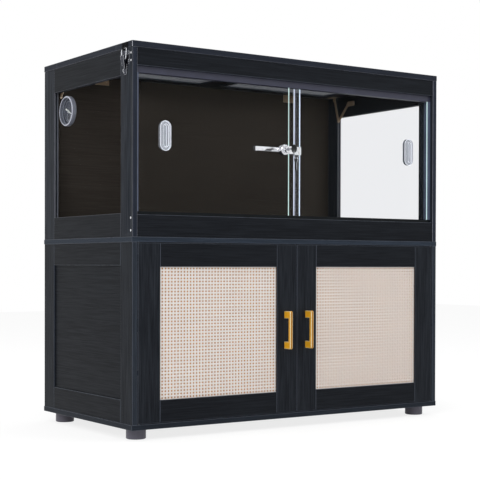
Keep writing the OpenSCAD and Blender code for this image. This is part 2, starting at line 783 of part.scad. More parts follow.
module hinge_moving() {
  left = hinge_inset - hinge_length / 2 + hinge_third + hinge_play;
  right = hinge_inset + hinge_length / 2 - hinge_third - hinge_play;
  difference() {
    union() {
      rod_x(left, hinge_y, hinge_z, right - left, hinge_barrel);
      box([left, cabinet_depth, lid_z + 0.4], [right, hinge_y - hinge_pin - 0.6, hinge_z + hinge_barrel + 0.8]);
      box([hinge_inset - hinge_length / 2 + 2, cabinet_depth, hinge_z + hinge_barrel + 0.3],
        [hinge_inset + hinge_length / 2 - 2, cabinet_depth + hinge_leaf, lid_top - 1.5]);
    }
    rod_x(left - 1, hinge_y, hinge_z, right - left + 2, hinge_pin + running_clearance);
  }
}
module lid_hinge_moving_leaves() { color("#8a6448") both_sides() hinge_moving(); }

// Lid stay, left side
module stay_link(from, to) {
  way = to - from;
  difference() {
    translate(from) rotate(atan2(way[1], way[0])) {
      translate([0, -stay_width / 2]) square([norm(way), stay_width]);
      circle(stay_width / 2);
      translate([norm(way), 0]) circle(stay_width / 2);
    }
    translate(from) circle(stay_pin + running_clearance);
  }
}
module stay_lower_arm() {
  color("#a8856c") {
    along_x(lower_arm_x, stay_plate) stay_link(stay_wall, stay_knee);
    rod_x(lower_arm_x - rivet, stay_knee[0], stay_knee[1], rivet + 0.1, knee_rivet);
  }
}
module stay_upper_arm() {
  color("#a8856c") {
    along_x(upper_arm_x, stay_plate) stay_link(stay_lid, stay_knee);
    rod_x(upper_arm_x + stay_plate - 0.1, stay_knee[0], stay_knee[1], rivet + 0.1, knee_rivet);
  }
}
module stay_lower_left() { stay_lower_arm(); }
module stay_lower_right() { other_side() stay_lower_arm(); }
module stay_upper_left() { stay_upper_arm(); }
module stay_upper_right() { other_side() stay_upper_arm(); }
// the plate and its screws lie in front of the pivot, clear of the arm's sweep
module stay_wall_bracket() {
  along_x(side_thickness, stay_plate) translate(stay_wall - [stay_plate_shift, 0])
    rounded([stay_plate_length, stay_plate_height], plate_corner);
  for (i = [0, 1])
    translate([side_thickness + stay_plate, stay_wall[0] - stay_screw_first - i * stay_screw_pitch, stay_wall[1]])
      rotate([0, 90, 0]) screw_cap();
  rod_x(side_thickness, stay_wall[0], stay_wall[1], 2 * stay_plate + 2 * stay_play + rivet_rise, stay_pin);
  rod_x(lower_arm_x + stay_plate + stay_play, stay_wall[0], stay_wall[1], rivet_rise, pivot_rivet);
}
module stay_wall_brackets() { color("#a8856c") both_sides() stay_wall_bracket(); }
module stay_lid_bracket() {
  along_x(flange_x, stay_plate) {
    translate(stay_lid) circle(stay_boss);
    translate([stay_lid[0] - stay_boss, stay_lid[1]]) square([2 * stay_boss, stay_lid_drop]);
  }
  box([flange_x, stay_lid[0] - stay_shoe_length / 2, lid_z - stay_plate],
    [flange_x + stay_shoe_width, stay_lid[0] + stay_shoe_length / 2, lid_z]);
  for (y = [-1, 1])
    translate([flange_x + 0.6 * stay_shoe_width, stay_lid[0] + y * stay_shoe_screw, lid_z - stay_plate])
      rotate([180, 0, 0]) screw_cap();
  rod_x(upper_arm_x - stay_play, stay_lid[0], stay_lid[1], flange_x + stay_plate - upper_arm_x + stay_play, stay_pin);
  rod_x(upper_arm_x - stay_play - rivet_rise, stay_lid[0], stay_lid[1], rivet_rise, pivot_rivet);
}
module stay_lid_brackets() { color("#a8856c") both_sides() stay_lid_bracket(); }

// Dial gauge: turned about X, its back on the left side window
module on_gauge() { translate([window_recess, cabinet_depth - gauge_inset, gauge_level]) rotate([0, -90, 0]) children(); }
module gauge_case() {
  color("#b4b5b8") on_gauge() {
    rotate_extrude() polygon([[0, 0], [gauge_radius - 2, 0], [gauge_radius, 3],
      [gauge_radius, gauge_depth - 3], [gauge_radius - 1.5, gauge_depth], [dial_radius - bezel_lip, gauge_depth],
      [dial_radius - bezel_lip, lens_base + lens_sheet], [dial_radius, lens_base + lens_sheet],
      [dial_radius, gauge_floor], [0, gauge_floor]]);
    cylinder(pointer_base + pointer_hub + 0.3, r = pointer_pin);
    translate([0, 0, pointer_base + pointer_hub + 0.25]) cylinder(0.9, r = pointer_pin + 0.9);
  }
}
module gauge_dial() {
  color("#6d7078") on_gauge() translate([0, 0, gauge_floor]) difference() {
    cylinder(dial_sheet, r = dial_radius);
    translate([0, 0, -1]) cylinder(dial_sheet + 2, r = pointer_pin);
  }
}
module gauge_lens() {
  color("#cfd8da", 0.4) on_gauge() translate([0, 0, lens_base]) cylinder(lens_sheet, r = dial_radius);
}
module gauge_pointer() {
  color("#f2f2f2") on_gauge() translate([0, 0, pointer_base]) rotate(-90 - gauge_reading) difference() {
    union() {
      cylinder(pointer_hub, r = 4.2);
      linear_extrude(1.2) polygon([[-pointer_tail, -2.6], [0, -1.8], [pointer_length - 4, -1.1],
        [pointer_length, 0], [pointer_length - 4, 1.1], [0, 1.8], [-pointer_tail, 2.6]]);
    }
    translate([0, 0, -1]) cylinder(pointer_hub + 2, r = pointer_pin + running_clearance);
  }
}

// Stand door, left; the pivots stand near its outer front corner
cane_y = door_recess + cane_recess;
module cane_sheet() {
  box([door_left_x + door_stile - groove_depth, cane_y, door_low + door_rail_low - groove_depth],
      [door_left_x + door_width - door_stile + groove_depth, cane_y + cane_thickness,
       door_high - door_rail_high + groove_depth]);
}
module door_pins(radius) {
  translate([pivot_x, pivot_y, door_low - door_gap - pivot_in_board])
    cylinder(pivot_in_board + door_gap + pivot_in_door, r = radius);
  translate([pivot_x, pivot_y, door_high - pivot_in_door])
    cylinder(pivot_in_board + door_gap + pivot_in_door, r = radius);
}
module door_frame() {
  rear = door_recess + door_thickness;
  right = door_left_x + door_width;
  rail_left = door_left_x + door_stile + glue_line;
  rail_right = right - door_stile - glue_line;
  difference() {
    union() {
      translate([0, 0, door_low]) linear_extrude(door_high - door_low) polygon([
        [door_left_x + 1.2, door_recess], [door_left_x + door_stile, door_recess],
        [door_left_x + door_stile, rear], [door_left_x, rear], [door_left_x, door_recess + 1.2]]);
      box([right - door_stile, door_recess, door_low], [right, rear, door_high]);
      box([rail_left, door_recess, door_low], [rail_right, rear, door_low + door_rail_low]);
      box([rail_left, door_recess, door_high - door_rail_high], [rail_right, rear, door_high]);
    }
    cane_sheet();
    door_pins(pivot_radius);
  }
}
module door_pivots() {
  door_pins(pivot_radius);
  translate([pivot_x, pivot_y, door_low - pivot_washer]) cylinder(pivot_washer, r = pivot_radius + 2);
}
// U-shaped bar handle, seen from the side as one closed outline
module bar_handle(centre) {
  along_x(centre - handle_section / 2, handle_section) translate([door_recess, deck_z - handle_drop]) difference() {
    union() {
      translate([-handle_projection / 2, 0]) square([handle_projection - 2 * handle_radius, handle_height], center = true);
      translate([-handle_radius - 1, 0]) square([2 * handle_radius + 2, handle_height], center = true);
      translate([-handle_projection / 2, 0]) square([handle_projection, handle_height - 2 * handle_radius], center = true);
      for (j = [-1, 1]) translate([handle_radius - handle_projection, j * (handle_height / 2 - handle_radius)])
        circle(handle_radius);
    }
    translate([handle_section - handle_projection, handle_foot - handle_height / 2])
      square([handle_projection, handle_height - 2 * handle_foot]);
  }
}
module door_left_frame() { color("#26292e") door_frame(); }
module door_left_cane() { color("#d9cdc0") cane_sheet(); }
module door_left_handle() { color("#c08a28") bar_handle(middle_x - handle_offset_left); }
module door_left_pivots() { color("#9a9ca0") door_pivots(); }
module door_right_frame() { color("#26292e") other_side() door_frame(); }
module door_right_cane() { color("#d9cdc0") other_side() cane_sheet(); }
module door_right_handle() { color("#c08a28") bar_handle(middle_x + handle_offset_right); }
module door_right_pivots() { color("#9a9ca0") other_side() door_pivots(); }

// Sliding glass
module pane_left() {
  color("#bcd6d2", 0.4) box([rear_pane_left, rear_pane_y, pane_z], [rear_pane_right, rear_pane_y + pane_thickness, pane_top]);
}
module pane_right() {
  color("#bcd6d2", 0.4) box([front_pane_left, front_pane_y, pane_z], [front_pane_right, front_pane_y + pane_thickness, pane_top]);
}
module finger_pull(x, y) {
  translate([x, 0, pull_level]) along_y(y - pull_depth, pull_depth - pull_floor) difference() {
    stadium(pull_width, pull_height);
    stadium(pull_groove, pull_height - pull_width + pull_groove);
  }
  translate([x, 0, pull_level]) along_y(y - pull_floor - 0.01, pull_floor + 0.01) stadium(pull_width, pull_height);
}
module pull_left() { color("#e8eef0", 0.6) finger_pull(pull_inset, rear_pane_y); }
module pull_right() { color("#e8eef0", 0.6) finger_pull(cabinet_width - pull_inset, front_pane_y); }
module seal_strip() {
  fin_front = front_pane_y + pane_thickness + 0.4;
  color("#dfe3e6", 0.5) difference() {
    translate([0, 0, glass_low + 1]) linear_extrude(glass_high - glass_low - 2) polygon([
      [hook_front, fin_front], [hook_front + seal_wall, fin_front],
      [hook_front + seal_wall, rear_pane_y - seal_wall], [seal_edge, rear_pane_y - seal_wall],
      [seal_edge, rear_pane_y + pane_thickness + seal_wall],
      [seal_edge - hook_return, rear_pane_y + pane_thickness + seal_wall],
      [seal_edge - hook_return, rear_pane_y + pane_thickness],
      [rear_pane_right, rear_pane_y + pane_thickness], [rear_pane_right, rear_pane_y],
      [hook_front, rear_pane_y]]);
    box([hook_front - 1, fin_front - 1, lock_level - hook_height / 2 - 1],
      [hook_front + seal_wall, rear_pane_y - seal_wall, lock_level + hook_height / 2 + 1]);
  }
}

// Showcase lock: toothed bar hooked on the rear pane, housing on the edge of the front pane
module lock_bar() {
  low = lock_level - bar_height / 2;
  high = lock_level + bar_height / 2;
  teeth_x = bar_left + tip_length + 6;
  color("#d9dadd") {
    along_y(bar_y, bar_thickness) polygon(concat(
      [[hook_front + 2, high], [bar_left + tip_length, high], [bar_left + tip_length, low]],
      [for (i = [0 : tooth_count - 1], k = [0, 1, 2])
        [teeth_x + (i + k / 2) * tooth_pitch, low + (k == 1 ? tooth_depth : 0)]],
      [[hook_front + 2, low]]));
    translate([0, 0, lock_level - hook_height / 2]) linear_extrude(hook_height) polygon([
      [hook_front + seal_wall, bar_y], [seal_edge + hook_wall, bar_y],
      [seal_edge + hook_wall, rear_pane_y + pane_thickness + seal_wall + hook_wall],
      [seal_edge + hook_wall - hook_return, rear_pane_y + pane_thickness + seal_wall + hook_wall],
      [seal_edge + hook_wall - hook_return, rear_pane_y + pane_thickness + seal_wall],
      [seal_edge, rear_pane_y + pane_thickness + seal_wall], [seal_edge, rear_pane_y - seal_wall],
      [hook_front + seal_wall, rear_pane_y - seal_wall]]);
  }
}
module lock_bar_tip() {
  color("#18191b") along_y(bar_y, bar_thickness) {
    translate([bar_left + tip_length / 2 + 1, lock_level]) square([tip_length - 2, bar_height], center = true);
    translate([bar_left + tip_length / 2, lock_level]) square([tip_length, bar_height - 4], center = true);
  }
}
module lock_housing() {
  grip_x = front_pane_left + grip_overlap;
  color("#d0d1d4") difference() {
    union() {
      translate([lock_x, lock_face_y, lock_level]) rotate([-90, 0, 0]) rotate_extrude() polygon([
        [0, 0], [lock_diameter / 2 - 2, 0], [lock_diameter / 2, 2],
        [lock_diameter / 2, bar_back + housing_wall - lock_face_y], [0, bar_back + housing_wall - lock_face_y]]);
      rod_y(lock_x, barrel_face_y, lock_level, barrel_length + 1, barrel_diameter / 2);
      box([lock_x, front_pane_y - 3, lock_level - grip_height / 2],
        [grip_x, bar_back + housing_wall, lock_level + grip_height / 2]);
    }
    box([front_pane_left, front_pane_y, lock_level - lock_diameter],
      [grip_x + 1, front_pane_y + pane_thickness, lock_level + lock_diameter]);
    box([lock_x - lock_diameter, bar_front, lock_level - bar_height / 2 - bar_play],
      [grip_x + 1, bar_back, lock_level + bar_height / 2 + bar_play]);
    rod_y(lock_x, barrel_face_y - 1, lock_level, barrel_length, plug_diameter / 2 + running_clearance);
  }
}
module key_blade() {
  color("#c4c5c8") {
    rod_y(lock_x, barrel_face_y, lock_level, barrel_length - 1.2, plug_diameter / 2);
    box([lock_x - key_blade_thickness / 2, barrel_face_y - key_reach, lock_level - key_blade_width / 2],
      [lock_x + key_blade_thickness / 2, barrel_face_y + 1, lock_level + key_blade_width / 2]);
  }
}
// the ring hole is countersunk from both faces
module key_head() {
  half = key_head_thickness / 2;
  color("#1b1b1e") difference() {
    rod_x(lock_x - half, key_head_y, lock_level, key_head_thickness, key_head_radius);
    box([lock_x - key_blade_thickness / 2, key_head_y + key_head_radius - 9, lock_level - key_blade_width / 2],
      [lock_x + key_blade_thickness / 2, key_head_y + 2 * key_head_radius, lock_level + key_blade_width / 2]);
    translate([lock_x, key_head_y, key_hole_z]) rotate([0, 90, 0]) rotate_extrude() polygon([
      [0, -half - 1], [key_hole_radius + half + 0.5, -half - 1], [key_hole_radius, -0.5],
      [key_hole_radius, 0.5], [key_hole_radius + half + 0.5, half + 1], [0, half + 1]]);
  }
}
module key_ring_set() {
  head_z = spare_z;
  color("#b9babd") {
    translate([ring_x, key_head_y, ring_z]) rotate([90, 0, 0]) rotate_extrude()
      translate([key_ring_radius, 0]) circle(key_ring_wire);
    difference() {
      union() {
        rod_x(ring_x - key_blade_thickness / 2, key_head_y, head_z, key_blade_thickness, spare_head_radius);
        box([ring_x - key_blade_thickness / 2, key_head_y - key_blade_width / 2, head_z - spare_head_radius - spare_blade_length],
          [ring_x + key_blade_thickness / 2, key_head_y + key_blade_width / 2, head_z - spare_head_radius + 2]);
      }
      rod_x(ring_x - 5, key_head_y, head_z + spare_head_radius - spare_hole - spare_rim, 10, spare_hole);
    }
  }
}

seat() base_board();
seat() feet();
seat() deck_board();
seat() stand_left_frame();
seat() stand_right_frame();
seat() stand_side_panels();
seat() stand_back();
seat() stand_divider();
seat() stand_shelves();
seat() tank_left_frame();
seat() tank_right_frame();
seat() tank_side_windows();
seat() tank_back();
seat() front_top_rail();
seat() front_bottom_rail();
seat() top_track();
seat() bottom_track();
seat() pane_stops();
seat() side_screws();
seat() latch_bases();
seat() latch_staples();
seat() stay_wall_brackets();
seat() lid_hinge_fixed_leaves();
seat() gauge_case();
seat() gauge_dial();
seat() gauge_lens();
seat() gauge_pointer();
seat() lid_board();
seat() lid_meshes();
seat() lid_mesh_trims();
seat() lid_hinge_moving_leaves();
seat() latch_catches();
seat() stay_lid_brackets();
seat() stay_lower_left();
seat() stay_lower_right();
seat() stay_upper_left();
seat() stay_upper_right();
seat() latch_lever_left();
seat() latch_lever_right();
seat() latch_bail_left();
seat() latch_bail_right();
seat() door_left_frame();
seat() door_left_cane();
seat() door_left_handle();
seat() door_left_pivots();
seat() door_right_frame();
seat() door_right_cane();
seat() door_right_handle();
seat() door_right_pivots();
seat() pane_left();
seat() pull_left();
seat() seal_strip();
seat() lock_bar();
seat() lock_bar_tip();
seat() pane_right();
seat() pull_right();
seat() lock_housing();
seat() key_blade();
seat() key_head();
seat() key_ring_set();
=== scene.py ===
"""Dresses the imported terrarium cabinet: boards, glass, cane, wire net, hardware and studio.

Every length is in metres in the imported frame, +X to the right, +Y to the back and +Z up.
"""

from __future__ import annotations

import json
import logging
import math
from abc import ABC, abstractmethod
from dataclasses import dataclass, field
from enum import Enum
from typing import Any, ClassVar, Sequence

import bmesh
import bpy
import numpy as np
from mathutils import Matrix, Vector

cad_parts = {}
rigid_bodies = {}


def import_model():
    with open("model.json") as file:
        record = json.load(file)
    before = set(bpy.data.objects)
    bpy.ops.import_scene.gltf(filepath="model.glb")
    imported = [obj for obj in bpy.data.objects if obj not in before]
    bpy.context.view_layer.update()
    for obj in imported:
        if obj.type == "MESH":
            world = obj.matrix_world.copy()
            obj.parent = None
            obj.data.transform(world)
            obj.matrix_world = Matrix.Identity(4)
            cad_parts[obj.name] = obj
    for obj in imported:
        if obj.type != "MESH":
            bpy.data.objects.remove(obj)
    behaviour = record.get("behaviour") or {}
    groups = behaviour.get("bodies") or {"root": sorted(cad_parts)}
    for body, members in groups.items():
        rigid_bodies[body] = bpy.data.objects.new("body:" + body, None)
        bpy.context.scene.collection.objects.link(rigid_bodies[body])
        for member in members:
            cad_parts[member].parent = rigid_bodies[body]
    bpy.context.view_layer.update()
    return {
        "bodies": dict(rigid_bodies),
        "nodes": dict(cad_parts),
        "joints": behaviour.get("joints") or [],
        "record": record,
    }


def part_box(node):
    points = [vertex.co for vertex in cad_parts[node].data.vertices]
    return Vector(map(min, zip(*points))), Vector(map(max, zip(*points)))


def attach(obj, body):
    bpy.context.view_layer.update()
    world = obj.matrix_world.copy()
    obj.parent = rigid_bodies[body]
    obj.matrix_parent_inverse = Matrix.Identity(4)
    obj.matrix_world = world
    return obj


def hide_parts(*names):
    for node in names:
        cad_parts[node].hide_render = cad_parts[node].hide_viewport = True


LOG = logging.getLogger("cabinet")
MM = 0.001

Colour = tuple[float, float, float]
Point = tuple[float, float, float]
Socket = bpy.types.NodeSocket
Part = tuple[np.ndarray, np.ndarray]

# Vertex attributes of every eased piece, and the UV map of the cane strands.
GRAIN = "grain_at"
UPRIGHT = "upright_member"
STRAND_MAP = "strand"

# A member this many times as tall as it is wide stands upright.
SLENDER = 2.5
# How far the grain moves on from one member to the next, in metres along and across it.
GRAIN_STEP = np.array([0.73, 0.11, 0.19])
# Vertices this near are one, faces this level are one, and edges turned by more are eased.
MERGED = 0.001 * MM
LEVEL = math.radians(1)
SHARP = math.radians(40)
# The cabinet's front corners, where corner tints paint a highlight, lie in front of this y.
FRONT_EDGE_Y = -0.25

# A block's corners, each picked by three bits, and its faces.
BLOCK_CORNERS = np.array([[i & 1, (i >> 1) & 1, (i >> 2) & 1] for i in range(8)], float)
BLOCK_FACES = np.array([[0, 2, 3, 1], [4, 5, 7, 6], [0, 1, 5, 4], [2, 6, 7, 3], [0, 4, 6, 2], [1, 3, 7, 5]])


class Axis(Enum):
    """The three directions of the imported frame."""

    X = 0
    Y = 1
    Z = 2


# ---------------------------------------------------------------- node graphs


class Graph:
    """Short hand for building one node tree."""

    def __init__(self, tree: bpy.types.NodeTree) -> None:
        """Starts on an empty tree.

        Args:
            tree: the material's or the group's node tree.
        """
        self.tree = tree
        tree.nodes.clear()

    def node(self, kind: str, inputs: dict[Any, Any] | None = None, **props: Any) -> bpy.types.Node:
        """Adds one node.

        Args:
            kind: the node's type name, without the ShaderNode prefix where it has one.
            inputs: input name or index to a socket, which is linked, or a value, which is set.
            props: the node's own properties.

        Returns:
            The new node.
        """
        full = kind if kind.startswith("NodeGroup") else "ShaderNode" + kind
        made = self.tree.nodes.new(full)
        for key, value in props.items():
            setattr(made, key, value)
        self.feed(made, inputs or {})
        return made

    def feed(self, node: bpy.types.Node, inputs: dict[Any, Any]) -> None:
        """Links or sets inputs of a node.

        Args:
            node: the node.
            inputs: input name or index to a socket, which is linked, or a value, which is set.
        """
        for key, value in inputs.items():
            target = node.inputs[key]
            if isinstance(value, bpy.types.NodeSocket):
                self.tree.links.new(value, target)
            elif target.type == "RGBA":
                target.default_value = (*value, 1.0)
            else:
                target.default_value = value

    def math(self, operation: str, *values: Any, clamp: bool = False) -> Socket:
        """Returns the result socket of one Math node on the values."""
        made = self.node("Math", dict(enumerate(values)), operation=operation, use_clamp=clamp)
        return made.outputs[0]

    def stretch(self, vector: Socket, scale: Sequence[float]) -> Socket:
        """Returns the vector times a scale along each direction."""
        made = self.node("VectorMath", {0: vector, 1: tuple(scale)}, operation="MULTIPLY")
        return made.outputs[0]

    def noise(self, vector: Socket, scale: Any, detail: float = 2.0, distortion: float = 0.0) -> Socket:
        """Returns the value of a noise texture read at the vector."""
        own = {"Vector": vector, "Scale": scale, "Detail": detail, "Distortion": distortion}
        return self.node("TexNoise", own).outputs["Fac"]

    def remap(self, value: Socket, low: float, high: float, to_low: float = 0.0,
              to_high: float = 1.0) -> Socket:
        """Returns the value carried from one range to another, held at its ends."""
        made = self.node("MapRange", {0: value, 1: low, 2: high, 3: to_low, 4: to_high})
        return made.outputs[0]

    def blend(self, share: Any, first: Any, second: Any) -> Socket:
        """Returns the colour between first and second at the share."""
        made = self.node("Mix", {0: share, 6: first, 7: second}, data_type="RGBA")
        return made.outputs[2]

    def place(self) -> Socket:
        """Returns the Object coordinates."""
        return self.node("TexCoord").outputs["Object"]

    def along(self, vector: Socket, axis: Axis) -> Socket:
        """Returns the vector's part along one direction."""
        return self.node("SeparateXYZ", {0: vector}).outputs[axis.value]

    def normal(self, axis: Axis) -> Socket:
        """Returns the object normal's part along one direction, from -1 to 1."""
        return self.along(self.node("TexCoord").outputs["Normal"], axis)

    def square_on(self, axis: Axis) -> Socket:
        """Returns 1 on faces that look along the axis, either way, down to 0 on faces beside it."""
        return self.math("ABSOLUTE", self.normal(axis))

    def seen(self) -> Socket:
        """Returns 1 for rays that look, mirror or pass through, and 0 for rays that only carry light."""
        path = self.node("LightPath").outputs
        through = self.math("MAXIMUM", path["Is Glossy Ray"], path["Is Transmission Ray"])
        return self.math("MAXIMUM", path["Is Camera Ray"], through)


class Effect:
    """A node group that turns a place and a material's own values into colour, roughness and height."""

    GIVES = {"Color": "Color", "Roughness": "Float", "Height": "Float"}

    def __init__(self, name: str, colours: Sequence[str], numbers: Sequence[str]) -> None:
        """Starts the group with its inputs and outputs.

        Args:
            name: the group's name.
            colours: names of its colour inputs.
            numbers: names of its number inputs.
        """
        self.tree = bpy.data.node_groups.new(name, "ShaderNodeTree")
        takes = {"At": "Vector", **dict.fromkeys(colours, "Color"), **dict.fromkeys(numbers, "Float")}
        for in_out, sockets in (("INPUT", takes), ("OUTPUT", self.GIVES)):
            for label, kind in sockets.items():
                self.tree.interface.new_socket(label, in_out=in_out, socket_type="NodeSocket" + kind)
        self.graph = Graph(self.tree)
        self.takes = self.graph.node("NodeGroupInput").outputs

    def give(self, colour: Socket, roughness: Socket, height: Socket) -> bpy.types.NodeTree:
        """Links the three results and returns the finished group."""
        self.graph.node("NodeGroupOutput", {"Color": colour, "Roughness": roughness, "Height": height})
        return self.tree


class Effects:
    """The effects that several finishes share, each built once.

    The patterns' scales are cycles for each metre, the laminate's first along its grain and then
    across it. The polish is a share of the finish's own number of lines.
    """

    STREAK = (8.0, 330.0, 330.0)
    FIGURE = (1.6, 26.0, 26.0)
    PORES = (38.0, 900.0, 900.0)
    POLISH = (0.12, 0.12, 1.0)
    SMEAR = 45.0
    SKIN = 2600.0
    TONE = 18.0

    def __init__(self) -> None:
        """Builds every shared effect."""
        self.wood = self._wood()
        self.handled = self._handled()
        self.moulded = self._moulded()

    def _wood(self) -> bpy.types.NodeTree:
        """Grain of a printed laminate: long streaks, a slow figure and short pores.

        tone = 0.75 streak + 0.25 figure - 0.35 pore, spread about its middle by the contrast.

        Returns:
            The finished group.
        """
        effect = Effect("laminate_grain", ("Dark", "Light"), ("Gloss", "Contrast"))
        g, takes = effect.graph, effect.takes
        streak = g.noise(g.stretch(takes["At"], self.STREAK), 1.0, 3.0, 0.4)
        figure = g.noise(g.stretch(takes["At"], self.FIGURE), 1.0, 3.0, 1.4)
        pores = g.noise(g.stretch(takes["At"], self.PORES), 1.0, 1.0)
        sharp = g.remap(streak, 0.38, 0.66)
        slow = g.remap(figure, 0.3, 0.7)
        pore = g.remap(pores, 0.60, 0.70)
        tone = g.math("MULTIPLY_ADD", slow, 0.25, g.math("MULTIPLY", sharp, 0.75))
        pored = g.math("SUBTRACT", tone, g.math("MULTIPLY", pore, 0.35))
        spread = g.math("MULTIPLY", g.math("SUBTRACT", pored, 0.5), takes["Contrast"])
        colour = g.blend(g.math("ADD", spread, 0.5, clamp=True), takes["Dark"], takes["Light"])
        rough = g.math("ADD", takes["Gloss"], g.remap(streak, 0.3, 0.7, 0.06, -0.04))
        return effect.give(colour, rough, g.math("SUBTRACT", sharp, pore))

    def _handled(self) -> bpy.types.NodeTree:
        """Faint smears and fine polishing lines on metal.

        Returns:
            The finished group.
        """
        effect = Effect("handled_surface", ("Tint",), ("Gloss", "Line"))
        g, takes = effect.graph, effect.takes
        smear = g.noise(takes["At"], self.SMEAR, 3.0, 0.8)
        lines = g.noise(g.stretch(takes["At"], self.POLISH), takes["Line"], 1.0)
        rough = g.math("ADD", takes["Gloss"], g.remap(smear, 0.35, 0.75, -0.02, 0.09), clamp=True)
        faded = {"Value": g.remap(smear, 0.3, 0.8, 1.04, 0.9), "Color": takes["Tint"]}
        return effect.give(g.node("HueSaturation", faded).outputs[0], rough, lines)

    def _moulded(self) -> bpy.types.NodeTree:
        """Fine spark-eroded skin of moulded plastic with a slow change of tone.

        Returns:
            The finished group.
        """
        effect = Effect("moulded_skin", ("Tint",), ("Gloss",))
        g, takes = effect.graph, effect.takes
        skin = g.noise(takes["At"], self.SKIN, 2.0)
        slow = g.noise(takes["At"], self.TONE, 2.0)
        toned = {"Value": g.remap(slow, 0.3, 0.7, 0.9, 1.12), "Color": takes["Tint"]}
        rough = g.math("ADD", takes["Gloss"], g.remap(slow, 0.3, 0.7, -0.05, 0.06))
        return effect.give(g.node("HueSaturation", toned).outputs[0], rough, skin)


# ------------------------------------------------------------------- finishes


class Surface(Graph):
    """A material's graph with its Principled shader and the shared effects at hand."""

    def __init__(self, tree: bpy.types.NodeTree, tint: Colour, gloss: float, effects: Effects) -> None:
        """Starts on an empty tree with the shader.

        Args:
            tree: the material's node tree.
            tint: its colour.
            gloss: its roughness.
            effects: the shared effects.
        """
        super().__init__(tree)
        self.own = {"Tint": tint, "Gloss": gloss}
        self.effects = effects
        self.shader = self.node("BsdfPrincipled", {"Base Color": tint, "Roughness": gloss})

    def lead(self, inputs: dict[str, Any]) -> None:
        """Links or sets inputs of the shader."""
        self.feed(self.shader, inputs)

    def cover(self, effect: bpy.types.NodeTree, inputs: dict[str, Any]) -> Socket:
        """Places a shared effect and lets it lead the shader's colour and roughness.

        Args:
            effect: the effect's group.
            inputs: values or sockets for inputs that don't take the material's own.

        Returns:
            The effect's height.
        """
        made = self.node("Group", {"At": self.place(), **self.own, **inputs}, node_tree=effect).outputs
        self.lead({"Base Color": made["Color"], "Roughness": made["Roughness"]})
        return made["Height"]

    def bump(self, height: Socket, depth: float, strength: float) -> None:
        """Lets a height shape the shader's normal.

        Args:
            height: the height, about 0 to 1.
            depth: what a height of 1 stands for, in metres.
            strength: share of the effect.
        """
        made = self.node("Bump", {"Height": height, "Distance": depth, "Strength": strength})
        self.lead({"Normal": made.outputs[0]})


@dataclass(frozen=True)
class Finish(ABC):
    """A material that starts as one Principled shader with its own colour and roughness."""

    name: str
    tint: Colour
    gloss: float = 0.4

    def build(self, effects: Effects) -> bpy.types.Material:
        """Makes the material.

        Args:
            effects: the shared effects.

        Returns:
            The finished material.
        """
        material = bpy.data.materials.new(self.name)
        material.use_nodes = True
        surface = Surface(material.node_tree, self.tint, self.gloss, effects)
        surface.node("OutputMaterial", {"Surface": self.dress(surface)})
        material.diffuse_color = (*self.tint, 1.0)
        return material

    @abstractmethod
    def dress(self, surface: Surface) -> Socket:
        """Gives the shader what sets this finish apart.

        Args:
            surface: the material's graph and shader.

        Returns:
            The socket that goes to the output.
        """


@dataclass(frozen=True)
class Laminate(Finish):
    """Woodgrain laminate on board, black unless it says otherwise, its grain along each member."""

    tint: Colour = (0.0056, 0.0066, 0.0090)
    gloss: float = 0.42
    light: Colour = (0.0172, 0.0202, 0.0256)
    specular: float = 0.05
    calm: float = 0.7
    # Share by which upright members are scaled lighter: a painted sheen on their vertical grain.
    lift: float = 0.42
    edge: Colour | None = None
    facing: Axis = Axis.Z
    # Pale tint for forward faces in the rear half: a painted highlight.
    rebate: Colour | None = None
    depth: float = 0.12 * MM

    def dress(self, surface: Surface) -> Socket:
        """Upright members are livelier and lighter, the lightness a painted sheen, and faces across the
        board banded.

        The rebate is what faces forward in the cabinet's rear half, and its pale tint there is a painted
        highlight.

        Args:
            surface: the material's graph and shader.

        Returns:
            The socket that goes to the output.
        """
        upright = surface.node("Attribute", attribute_name=UPRIGHT).outputs["Fac"]
        own = {"At": surface.node("Attribute", attribute_name=GRAIN).outputs["Vector"],
               "Dark": self.tint, "Light": self.light, "Gloss": self.gloss,
               "Contrast": surface.remap(upright, 0.0, 1.0, self.calm, 1.0)}
        grain = surface.node("Group", own, node_tree=surface.effects.wood).outputs
        # Painted sheen: upright members are scaled lighter by the lift.
        lifted = {0: grain["Color"], "Scale": surface.remap(upright, 0.0, 1.0, 1.0, 1.0 + self.lift)}
        colour = surface.node("VectorMath", lifted, operation="SCALE").outputs[0]
        if self.edge is not None:
            across = surface.remap(surface.square_on(self.facing), 0.75, 0.35)
            printed = surface.remap(grain["Height"], -0.2, 1.0, 0.55, 1.0)
            colour = surface.blend(across, colour, surface.blend(printed, self.tint, self.edge))
        # Painted highlight on forward faces in the cabinet's rear half.
        if self.rebate is not None:
            forward = surface.math("LESS_THAN", surface.normal(Axis.Y), -0.7)
            rear = surface.math("GREATER_THAN", surface.along(surface.place(), Axis.Y), 0.0)
            colour = surface.blend(surface.math("MULTIPLY", forward, rear), colour, self.rebate)
        surface.lead({"Base Color": colour, "Roughness": grain["Roughness"],
                      "Specular IOR Level": self.specular})
        surface.bump(grain["Height"], self.depth, 0.7)
        return surface.shader.outputs[0]


@dataclass(frozen=True)
class Metal(Finish):
    """Plated or polished metal."""

    metallic: float = 1.0
    lines: float = 900.0
    front: Colour | None = None
    depth: float = 0.01 * MM

    def dress(self, surface: Surface) -> Socket:
        """Smears in the gloss and fine lines in the normal; the front faces may take a tint of their own,
        painted shade.

        Args:
            surface: the material's graph and shader.

        Returns:
            The socket that goes to the output.
        """
        own: dict[str, Any] = {"Line": self.lines}
        # Painted shade: faces that look along Y take the front tint.
        if self.front is not None:
            ahead = surface.remap(surface.square_on(Axis.Y), 0.6, 0.9)
            own["Tint"] = surface.blend(ahead, self.tint, self.front)
        height = surface.cover(surface.effects.handled, own)
        surface.lead({"Metallic": self.metallic})
        surface.bump(height, self.depth, 0.5)
        return surface.shader.outputs[0]


